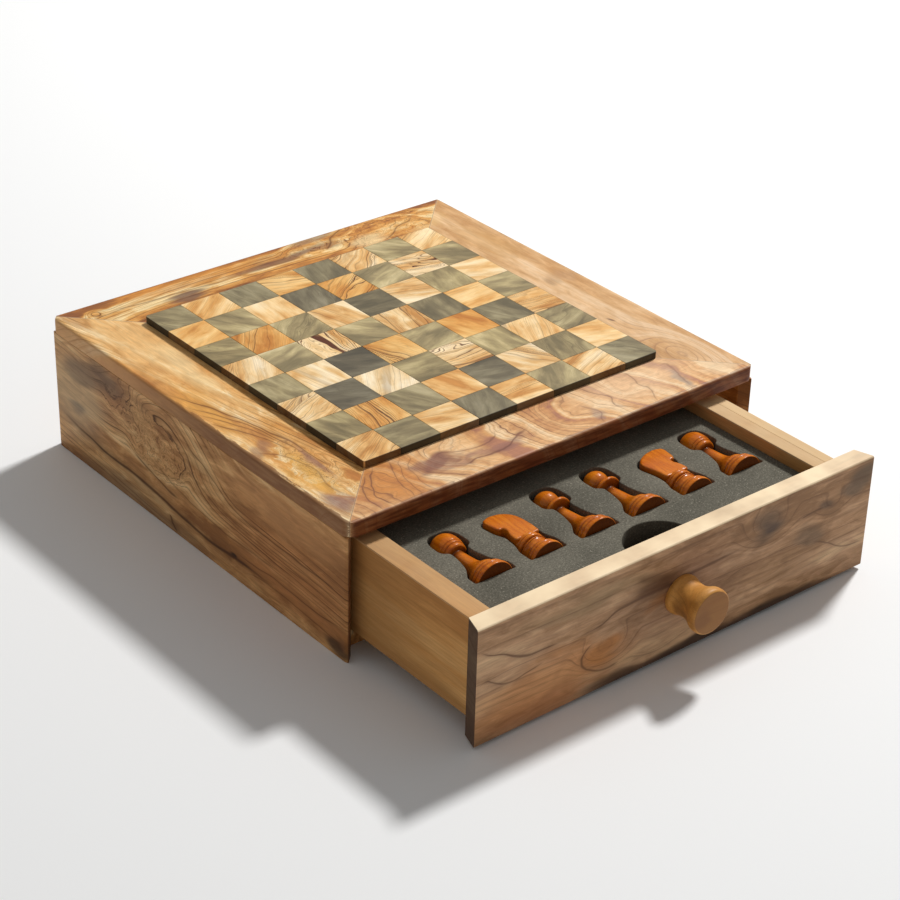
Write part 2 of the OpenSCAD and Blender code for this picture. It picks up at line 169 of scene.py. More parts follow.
def toEnd(points, end):
    # From the closed front drawer to where that end's drawer stands at rest, mm to metres
    sign, shift = ends[end]
    moved = np.array(points, float) * mm
    moved[..., :2] *= sign
    moved[..., 1] += shift
    return moved


loopSteps = 7


def roundedLine(stations, closed=False, steps=6):
    # A line through corners (a, b, rounding); each corner becomes the curve
    # p + (1-t)^2 (start - p) + t^2 (end - p), with start and end that far from it along its legs, or
    # not quite half a leg where that is less
    s = np.array(stations, float)
    if closed:
        s = np.concatenate([s[-1:], s, s[:1]])
    corner, reach = s[:, :2], s[1:-1, 2]
    leg = np.diff(corner, axis=0)
    length = np.linalg.norm(leg, axis=1)
    way = leg / length[:, None]
    before = -way[:-1] * np.minimum(reach, length[:-1] * 0.49)[:, None]
    after = way[1:] * np.minimum(reach, length[1:] * 0.49)[:, None]
    t = np.linspace(0, 1, steps)[None, :, None]
    curve = corner[1:-1, None] + (1 - t) ** 2 * before[:, None] + t**2 * after[:, None]
    curve = curve.reshape(-1, 2)
    return curve if closed else np.concatenate([corner[:1], curve, corner[-1:]])


# Camera and light

view = {
    "place": (-779.0, -985.4, 734.8),
    "turn": 39.8,  # degrees to the right of +Y
    "down": 29.86,
    "roll": 1.57,
    "lens": 94.55,
    "sensor": 36,
    "nearest": 50,
    "farthest": 50000,
}
light = {
    "from": (0.63, 0.16, 0.76),
    "distance": 3000,
    "size": 380,
    "power": 88,  # W: with the sky it lights the top so that a colour shows about as it is written
    "sky": 0.28,
    "backdrop": 0.9,
    "skyColour": "#ffffff",
}
floor = {"size": 9000, "colour": "#f1f1f0", "roughness": 0.75}


def makeCamera():
    data = bpy.data.cameras.new("camera")
    data.lens = view["lens"]
    data.sensor_width = view["sensor"]
    data.clip_start = view["nearest"] * mm
    data.clip_end = view["farthest"] * mm
    camera = bpy.data.objects.new("camera", data)
    bpy.context.scene.collection.objects.link(camera)
    turn = Matrix.Rotation(-math.radians(view["turn"]), 4, "Z")
    tilt = Matrix.Rotation(math.radians(90 - view["down"]), 4, "X")
    roll = Matrix.Rotation(math.radians(view["roll"]), 4, "Z")
    camera.matrix_world = Matrix.Translation(Vector(view["place"]) * mm) @ turn @ tilt @ roll
    bpy.context.scene.camera = camera


def makeLight():
    scene = bpy.context.scene
    scene.view_settings.view_transform = "Standard"
    data = bpy.data.lights.new("lamp", "AREA")
    data.shape = "DISK"
    data.size = light["size"] * mm
    data.energy = light["power"]
    lamp = bpy.data.objects.new("lamp", data)
    scene.collection.objects.link(lamp)
    lamp.location = Vector(light["from"]).normalized() * light["distance"] * mm
    lamp.rotation_euler = lamp.location.to_track_quat("Z", "Y").to_euler()
    world = bpy.data.worlds.new("sky")
    scene.world = world
    world.use_nodes = True
    tree = world.node_tree
    tree.nodes.clear()
    # The object is lit by the weak sky, while the camera and reflections see a pale backdrop
    ray = addNode(tree, "LightPath")
    seen = ray.outputs["Is Camera Ray"]
    for other in ("Is Glossy Ray", "Is Transmission Ray"):
        seen = addNode(tree, "Math", [seen, ray.outputs[other]], operation="MAXIMUM")
    strength = addNode(tree, "MapRange", [seen, 0, 1, light["sky"], light["backdrop"]])
    sky = addNode(tree, "Background", {"Color": linearColour(light["skyColour"]), "Strength": strength})
    addNode(tree, "OutputWorld", [sky])


def makeFloor():
    half = floor["size"] / 2 * mm
    corners = [(-half, -half, 0), (half, -half, 0), (half, half, 0), (-half, half, 0)]
    mesh = bpy.data.meshes.new("floor")
    mesh.from_pydata(corners, [], [(0, 1, 2, 3)])
    piece = bpy.data.objects.new("floor", mesh)
    bpy.context.scene.collection.objects.link(piece)
    material, tree = newMaterial("matt_white_floor")
    inputs = {"Base Color": linearColour(floor["colour"]), "Roughness": floor["roughness"]}
    shader = addNode(tree, "BsdfPrincipled", inputs)
    addNode(tree, "OutputMaterial", [shader])
    dress(piece, material)


makeCamera()
makeLight()
makeFloor()
print("camera, light and floor made")


# Wood

# What every board shares unless it says otherwise. Lengths in mm, in the board's own frame:
# x along the board, y across it (a top board's outer edge is at y -30), z through its thickness
woodLook = {
    "seed": (0, 0, 0),
    "flow": (0.0, 1.0, 0.35),  # the growth lines follow each other in this direction
    "hills": [],  # (x, y, reach in x, reach in y, lift): the lines close or arch round these
    "stretch": 0.4,  # how much slower the figure changes along x
    "waveSize": 70,
    "waves": 26,
    "curlSize": 22,
    "curls": 5,
    "burls": [],  # (x, y, reach in x, reach in y, height): tangled grain
    "tangleSize": 11,
    "ringWidth": 5.0,
    "ringDrift": 3.0,
    "lineShare": 0.8,  # share of the rings with a dark line
    "lineLeast": 0.3,
    "lineMost": 0.95,
    "cluster": 0.55,
    "fineLines": 0.55,  # strength of the lines between the main ones
    "plain": [],  # (x, y, reach in x, reach in y, share): the lines fade here
    "patchSize": 55,
    "patches": 0.5,
    "mottleSize": 6,
    "mottle": 0.35,
    "contrast": 1.5,
    "rippleSize": 6,
    "ripple": 0.5,
    "fibre": 0.6,
    "fibresPerMm": (0.07, 1.6, 1.6),  # real ones are finer, too fine to show
    "tones": [(0.38, "#a86a34"), (0.46, "#c98a4a"), (0.54, "#dda765"), (0.64, "#efcb92")],
    "lineColour": "#56301f",
    "topEdgeEase": 0.6,  # how far below its top a wall's pale edge is full, after setting in over:
    "topEdgeSoft": 0.5,
    "topEdgeSize": 30,
    "spots": [],  # (x, y, reach in x, reach in y, colour, share): clouds of another tone
    "strokes": [],  # (width, share, points): single dark lines along x
    "crossStrokes": [],  # the same along y, with their points as (y, x)
    "wanderSize": 12,  # spots and strokes are pushed about over this length, by up to half of these:
    "spotPush": (26, 20, 0),
    "strokePush": (8, 6, 0),
    "roughness": 0.5,
    "lineDulls": 0.12,
    "relief": 0.2,
    "shine": 0.18,
}
# A stroke across its width: a core and a soft halo, (from, to, share) with distances in widths. Its
# ends fade out over the last part of its length
strokeLook = {"core": (0.1, 0.75, 0.6), "halo": (0, 3.5, 0.35), "fadeFrom": 0.7}


def areaMask(tree, place, x, y, reachX, reachY, core=0.3):
    # 1 in the middle of an ellipse, falling to 0 at its edge
    size = (1 / reachX, 1 / reachY, 0)
    centre = (-x / reachX, -y / reachY, 0)
    unit = addNode(tree, "VectorMath", [place, size, centre], operation="MULTIPLY_ADD")
    away = addNode(tree, "VectorMath", [unit], operation="LENGTH").outputs["Value"]
    return addNode(tree, "MapRange", [away, core, 1, 1, 0], interpolation_type="SMOOTHSTEP")


def strokeMask(tree, along, side, thickness, width, points):
    # 1 on a line through the points, where distance = |side - curve(along)|; both tips fade out
    place = addNode(tree, "Math", [along, 1 / curveSpan, 0.5], operation="MULTIPLY_ADD")
    line = addNode(tree, "FloatCurve", {"Value": place}, curve=points)
    off = addNode(tree, "Math", [line, -curveSpan, side], operation="MULTIPLY_ADD")
    off = addNode(tree, "Math", [off, curveSpan / 2], operation="ADD")
    off = addNode(tree, "Math", [off], operation="ABSOLUTE")
    off = addNode(tree, "Math", [off, thickness], operation="MULTIPLY")
    parts = []
    for start, end, share in (strokeLook["core"], strokeLook["halo"]):
        inputs = [off, width * start, width * end, share, 0]
        parts.append(addNode(tree, "MapRange", inputs, interpolation_type="SMOOTHSTEP"))
    mask = addNode(tree, "Math", parts, operation="ADD")
    first, last = min(points)[0], max(points)[0]
    reach = (last - first) / 2
    gone = addNode(tree, "Math", [along, (first + last) / 2], operation="SUBTRACT")
    gone = addNode(tree, "Math", [gone], operation="ABSOLUTE")
    tips = addNode(tree, "MapRange", [gone, reach * strokeLook["fadeFrom"], reach, 1, 0])
    return addNode(tree, "Math", [mask, tips], operation="MULTIPLY")


def ringFigure(tree, place, look, busy=None):
    # Growth lines are the level lines of a smooth height over the board: the distance along the
    # flow, plus slow waves and short curls, plus hills and tangles at their places. Each noise below
    # has its size in the look, and its detail, roughness and distortion here
    height = addNode(tree, "VectorMath", [place, look["flow"]], operation="DOT_PRODUCT").outputs["Value"]
    inputs = [place, (look["stretch"], 1, 1), look["seed"]]
    stretched = addNode(tree, "VectorMath", inputs, operation="MULTIPLY_ADD")
    noises = []
    for what, detail, roughness, distortion in (
        ("wave", 1.0, 0.45, 0),
        ("curl", 2.5, 0.5, 0),
        ("patch", 2.5, 0.55, 0),
        ("mottle", 4.0, 0.7, 0.5),
        ("ripple", 2.0, 0.5, 1.2),
        ("wander", 1.5, 0.5, 0),
    ):
        inputs = {"Vector": stretched, "Scale": 1 / look[what + "Size"], "Detail": detail}
        inputs.update({"Roughness": roughness, "Distortion": distortion})
        noises.append(addNode(tree, "TexNoise", inputs))
    waves, curls, patch, mottle, ripple, wander = noises
    height = addNode(tree, "Math", [waves, look["waves"], height], operation="MULTIPLY_ADD")
    strength = look["curls"]
    if busy is not None:
        strength = addNode(tree, "Math", [busy, strength], operation="MULTIPLY")
    height = addNode(tree, "Math", [curls, strength, height], operation="MULTIPLY_ADD")
    for x, y, reachX, reachY, lift in look["hills"]:
        hill = areaMask(tree, place, x, y, reachX, reachY, 0)
        height = addNode(tree, "Math", [hill, lift, height], operation="MULTIPLY_ADD")
    if look["burls"]:
        inputs = {"Vector": place, "Scale": 1 / look["tangleSize"], "Detail": 3.0, "Roughness": 0.55}
        inputs["Distortion"] = 1.1
        tangle = addNode(tree, "TexNoise", inputs)
    for x, y, reachX, reachY, lift in look["burls"]:
        part = areaMask(tree, place, x, y, reachX, reachY)
        part = addNode(tree, "Math", [part, tangle], operation="MULTIPLY")
        height = addNode(tree, "Math", [part, lift, height], operation="MULTIPLY_ADD")
    rings = addNode(tree, "Math", [height, 1 / look["ringWidth"]], operation="MULTIPLY")
    # Noises along W run from ring to ring, with a scale per ring
    drift = addNode(tree, "TexNoise", {"W": rings, "Scale": 0.31, "Detail": 1.0}, noise_dimensions="1D")
    rings = addNode(tree, "Math", [drift, look["ringDrift"], rings], operation="MULTIPLY_ADD")
    # Late wood: the line darkens slowly and ends sharply. Finer lines lie between the main ones
    mainStops = [(0, 0.6), (0.05, 0.1), (0.6, 0.03), (0.86, 0.32), (0.95, 1.0)]
    fineStops = [(0, 0.5), (0.2, 0.0), (0.6, 0.0), (0.92, 1.0)]
    systems = []
    for spacing, share, least, most, stops in (
        (1.0, look["lineShare"], look["lineLeast"], look["lineMost"], mainStops),
        (0.3, 0.8, 0, look["fineLines"], fineStops),
    ):
        count = addNode(tree, "Math", [rings, 1 / spacing], operation="MULTIPLY")
        phase = addNode(tree, "Math", [count], operation="FRACT")
        number = addNode(tree, "Math", [count], operation="FLOOR")
        chance = addNode(tree, "TexWhiteNoise", {"W": number}, noise_dimensions="1D")
        strength = addNode(tree, "MapRange", [chance, 1 - share, 1, least, most])
        profile = addNode(tree, "ValToRGB", [phase], stops=stops)
        systems.append(addNode(tree, "Math", [profile, strength], operation="MULTIPLY"))
    line = addNode(tree, "Math", systems, operation="MAXIMUM")
    cluster = addNode(tree, "TexNoise", {"W": rings, "Scale": 0.19, "Detail": 1.0}, noise_dimensions="1D")
    crowd = addNode(tree, "MapRange", [cluster, 0.4, 0.6, 1 - look["cluster"], 1])
    line = addNode(tree, "Math", [line, crowd], operation="MULTIPLY")
    # A line comes and goes along its way
    broken = addNode(tree, "MapRange", [wander, 0.34, 0.54, 0.6, 1])
    line = addNode(tree, "Math", [line, broken], operation="MULTIPLY")
    if busy is not None:
        line = addNode(tree, "Math", [line, busy], operation="MULTIPLY")
    for x, y, reachX, reachY, share in look["plain"]:
        rest = areaMask(tree, place, x, y, reachX, reachY, 0.55)
        rest = addNode(tree, "Math", [rest, -share, 1.0], operation="MULTIPLY_ADD")
        line = addNode(tree, "Math", [line, rest], operation="MULTIPLY")
    # Broad tones follow the rings too, and wander over the board
    band = addNode(tree, "TexNoise", {"W": rings, "Scale": 0.29, "Detail": 2.0}, noise_dimensions="1D")
    tone = addNode(tree, "Math", [band, 1.0 - look["patches"]], operation="MULTIPLY")
    tone = addNode(tree, "Math", [patch, look["patches"], tone], operation="MULTIPLY_ADD")
    mottle = addNode(tree, "Math", [mottle, look["mottle"], -look["mottle"] / 2], operation="MULTIPLY_ADD")
    tone = addNode(tree, "Math", [tone, mottle], operation="ADD")
    contrast = look["contrast"]
    tone = addNode(tree, "Math", [tone, contrast, 0.5 - 0.5 * contrast], operation="MULTIPLY_ADD")
    colour = addNode(tree, "ValToRGB", [tone], stops=look["tones"])
    # Spots and strokes are pushed about so that no edge is a clean ellipse or a clean curve
    drawn = [(stroke, "X", "Y") for stroke in look["strokes"]]
    drawn += [(stroke, "Y", "X") for stroke in look["crossStrokes"]]
    if look["spots"] or drawn:
        push = addNode(tree, "VectorMath", [wander.outputs["Color"], (-0.5, -0.5, -0.5)], operation="ADD")
    if look["spots"]:
        cloud = addNode(tree, "VectorMath", [push, look["spotPush"], place], operation="MULTIPLY_ADD")
    for x, y, reachX, reachY, hexColour, share in look["spots"]:
        part = areaMask(tree, cloud, x, y, reachX, reachY)
        colour = edgeTone(tree, colour, part, hexColour, share)
    # Fibres along the grain, then curly grain: short ripples that catch the light
    thin = addNode(tree, "VectorMath", [place, look["fibresPerMm"]], operation="MULTIPLY")
    fibre = addNode(tree, "TexNoise", {"Vector": thin, "Scale": 1.0, "Detail": 3.0, "Roughness": 0.65})
    for what, inputs in (
        ("fibre", [fibre, 0.3, 0.7, 0.8, 1.15]),
        ("ripple", [ripple, 0.35, 0.65, 0.8, 1.14]),
    ):
        tone = addNode(tree, "MapRange", inputs)
        colour = addNode(tree, "MixRGB", [look[what], colour, tone], blend_type="MULTIPLY")
    if drawn:
        shaken = addNode(tree, "VectorMath", [push, look["strokePush"], place], operation="MULTIPLY_ADD")
        axis = addNode(tree, "SeparateXYZ", [shaken]).outputs
        thickness = addNode(tree, "MapRange", [curls, 0.35, 0.65, 0.7, 1.6])
    for (width, share, points), along, side in drawn:
        mask = strokeMask(tree, axis[along], axis[side], thickness, width, points)
        mask = addNode(tree, "Math", [mask, share], operation="MULTIPLY")
        line = addNode(tree, "Math", [line, mask], operation="MAXIMUM")
    colour = addNode(tree, "MixRGB", [line, colour, linearColour(look["lineColour"])])
    return colour, line, fibre


def woodShader(tree, colour, line, fibre, look):
    # Hard-wax oil, rubbed: satin, with the dense dark lines a little duller and the fibres just felt
    dull = addNode(tree, "MapRange", [line, 0, 1, look["roughness"], look["roughness"] + look["lineDulls"]])
    relief = addNode(tree, "Math", [line, -0.5, fibre], operation="MULTIPLY_ADD")
    bump = addNode(tree, "Bump", {"Height": relief, "Strength": look["relief"], "Distance": 0.0001})
    inputs = {
        "Base Color": colour,
        "Roughness": dull,
        "Normal": bump,
        "IOR": 1.5,
        "Specular IOR Level": look["shine"],
    }
    shader = addNode(tree, "BsdfPrincipled", inputs)
    addNode(tree, "OutputMaterial", [shader])


def edgeTone(tree, colour, mask, hexColour, share):
    # Mixes another tone in where the mask is 1
    part = addNode(tree, "Math", [mask, share], operation="MULTIPLY")
    return addNode(tree, "MixRGB", [part, colour, linearColour(hexColour)])


def ownFrame(tree, centre, turn):
    # Object coordinates in mm in a piece's own frame, and the surface's direction
    place = addNode(tree, "TexCoord")
    inputs = {"Vector": place.outputs["Object"], "Location": centre, "Scale": (mm, mm, mm)}
    inputs["Rotation"] = [math.radians(a) for a in turn]
    return addNode(tree, "Mapping", inputs, vector_type="TEXTURE"), place.outputs["Normal"]


def inMillimetres(tree):
    # Object coordinates in mm
    place = addNode(tree, "TexCoord").outputs["Object"]
    return addNode(tree, "VectorMath", [place, (1 / mm,) * 3], operation="MULTIPLY")


def facing(tree, normal, letter, start, end):
    # 0 to 1 as the surface turns to face along an axis
    part = addNode(tree, "SeparateXYZ", [normal]).outputs[letter]
    part = addNode(tree, "Math", [part], operation="ABSOLUTE")
    return addNode(tree, "MapRange", [part, start, end])


def boardWood(name, centre, turn, **changes):
    # Olive wood, sawn, planed and oiled: honey ground with brown lines that swirl and crowd together
    look = {**woodLook, **changes}
    material, tree = newMaterial(name)
    own, normal = ownFrame(tree, centre, turn)
    colour, line, fibre = ringFigure(tree, own, look)
    axis = addNode(tree, "SeparateXYZ", [own]).outputs
    if "topEdge" in look:
        # The upper edge was planed last and has had no hands on it yet, so it is the palest part
        hexColour, share = look["topEdge"]
        height = look["halfHeight"] - look["topEdgeEase"]
        top = addNode(tree, "MapRange", [axis["Y"], height - look["topEdgeSoft"], height])
        uneven = addNode(tree, "TexNoise", {"Vector": own, "Scale": 1 / look["topEdgeSize"], "Detail": 3.0})
        uneven = addNode(tree, "MapRange", [uneven, 0.35, 0.6, 0.6, 1])
        top = addNode(tree, "Math", [top, uneven], operation="MULTIPLY")
        colour = edgeTone(tree, colour, top, hexColour, share)
    if "endGrainAndShade" in look:
        # Sawn ends drink the oil and stay darker; on the drawer faces the dark ends also paint the shade of
        # the gap beside the case
        letter, *tone = look["endGrainAndShade"]
        colour = edgeTone(tree, colour, facing(tree, normal, letter, 0.5, 0.75), *tone)
    if "mitre" in look:
        # Pale line of glue along the mitred ends, with a hairline of dirt in it
        along = addNode(tree, "Math", [axis["X"]], operation="ABSOLUTE")
        gone = addNode(tree, "Math", [along, axis["Y"]], operation="ADD")
        for hexColour, start, end, share in look["glue"]:
            part = addNode(tree, "MapRange", [gone, look["mitre"] - start, look["mitre"] - end, 0, share])
            colour = edgeTone(tree, colour, part, hexColour, 1.0)
        # The narrow side face cuts the grain aslant: darker, with slanting streaks; its arris is chipped
        slanted = addNode(tree, "Mapping", {"Vector": own, **look["slant"]})
        inputs = {"Vector": slanted, "Scale": 1.0, "Detail": 4.0, "Roughness": 0.6}
        streak = addNode(tree, "TexNoise", inputs)
        streak = addNode(tree, "MapRange", [streak, 0.4, 0.6, 0.25, 1])
        start, stop = look["sideDepth"]
        side = addNode(tree, "MapRange", [axis["Y"], look["outer"] + start, look["outer"] + stop])
        colour = edgeTone(tree, colour, side, *look["sideGround"])
        part = addNode(tree, "MapRange", [axis["X"], look["sideFrom"], look["sideTo"]])
        side = addNode(tree, "Math", [side, part], operation="MULTIPLY")
        side = addNode(tree, "Math", [side, streak], operation="MULTIPLY")
        colour = edgeTone(tree, colour, side, look["sideColour"], look["sideShare"])
        chipped = [streak, look["chips"], look["outer"] + look["chipsFrom"]]
        chips = addNode(tree, "Math", chipped, operation="MULTIPLY_ADD")
        rim = addNode(tree, "Math", [axis["Y"], chips], operation="LESS_THAN")
        rim = addNode(tree, "Math", [rim, part], operation="MULTIPLY")
        colour = edgeTone(tree, colour, rim, look["sideColour"], look["rimShare"])
    woodShader(tree, colour, line, fibre, look)
    return material


def squareWood(name, pitch, side, **changes):
    # Small blocks sawn from many boards: each cell has its own grain direction, place, tone and figure
    look = {**woodLook, **changes}
    material, tree = newMaterial(name)
    place = addNode(tree, "TexCoord").outputs["Object"]
    # Cells are numbered from a corner outside the board, so that no number is negative
    inputs = [place, (1 / (pitch * mm),) * 2 + (0,), (20, 20, 0)]
    counted = addNode(tree, "VectorMath", inputs, operation="MULTIPLY_ADD")
    cell = addNode(tree, "VectorMath", [counted, look["seed"]], operation="ADD")
    cell = addNode(tree, "VectorMath", [cell], operation="FLOOR")
    chance = addNode(tree, "TexWhiteNoise", {"Vector": cell}, noise_dimensions="3D")
    again = addNode(tree, "VectorMath", [cell, look["reshuffle"]], operation="MULTIPLY")
    second = addNode(tree, "TexWhiteNoise", {"Vector": again}, noise_dimensions="3D")
    angle = addNode(tree, "Math", [chance, 2 * math.pi], operation="MULTIPLY")
    inMm = addNode(tree, "VectorMath", [place, (1 / mm,) * 3], operation="MULTIPLY")
    turned = addNode(tree, "VectorRotate", {"Vector": inMm, "Angle": angle}, rotation_type="Z_AXIS")
    inputs = [chance.outputs["Color"], (look["spread"],) * 3, turned]
    away = addNode(tree, "VectorMath", inputs, operation="MULTIPLY_ADD")
    tinge = addNode(tree, "SeparateXYZ", [second.outputs["Color"]]).outputs["Y"]
    busy = addNode(tree, "MapRange", [tinge, look["calmShare"], 1, look["calm"], look["lively"]])
    colour, line, fibre = ringFigure(tree, away, look, busy)
    tint = addNode(tree, "ValToRGB", [second.outputs["Value"]], stops=look["tints"])
    colour = addNode(tree, "MixRGB", [look["tintShare"], colour, tint], blend_type="MULTIPLY")
    # The board's outer edge is burnt dark
    out = addNode(tree, "VectorMath", [inMm], operation="ABSOLUTE")
    axis = addNode(tree, "SeparateXYZ", [out]).outputs
    outermost = addNode(tree, "Math", [axis["X"], axis["Y"]], operation="MAXIMUM")
    start, stop = look["rim"]
    rim = addNode(tree, "MapRange", [outermost, side - start, side - stop])
    colour = edgeTone(tree, colour, rim, look["rimColour"], look["rimShare"])
    woodShader(tree, colour, line, fibre, look)
    return material


# Arrises are eased by so much. From these turns in degrees on, an edge is an arris, is shaded sharp, or
# is more than a seam between flat faces
sanding = {"ease": 0.4, "wallEase": 0.3, "segments": 2, "arris": 40, "sharp": 30, "seam": 0.3}


def boardPiece(node, material, ease=sanding["ease"], corners=()):
    # A merged copy of the CAD board with its arrises eased, as sandpaper leaves them.
    # A corner (x, y, cut) is taken off by an upright plane that takes the cut's length off both sides
    bm = bmesh.new()
    bm.from_mesh(frame["nodes"][node].data)
    bmesh.ops.remove_doubles(bm, verts=bm.verts, dist=mergeDistance)
    for x, y, cut in corners:
        outward = Vector((math.copysign(1, x), math.copysign(1, y), 0))
        point = (Vector((x, y, 0)) - Vector((outward.x * cut, 0, 0))) * mm
        everything = bm.verts[:] + bm.edges[:] + bm.faces[:]
        bmesh.ops.bisect_plane(bm, geom=everything, plane_co=point, plane_no=outward, clear_outer=True)
        bmesh.ops.holes_fill(bm, edges=[edge for edge in bm.edges if edge.is_boundary])
    bmesh.ops.dissolve_limit(bm, angle_limit=math.radians(sanding["seam"]), verts=bm.verts, edges=bm.edges)
    piece = closedPiece(node + "_wood", bm, sanding["sharp"])
    bevel = piece.modifiers.new("ease", "BEVEL")
    bevel.width = ease * mm
    bevel.segments = sanding["segments"]
    bevel.limit_method = "ANGLE"
    bevel.angle_limit = math.radians(sanding["arris"])
    bevel.harden_normals = True
    placePiece(piece, node, material)


def middleOf(node):
    low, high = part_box(node)
    return (low + high) / 2


def halfHeight(node):
    low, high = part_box(node)
    return (high.z - low.z) / 2 / mm


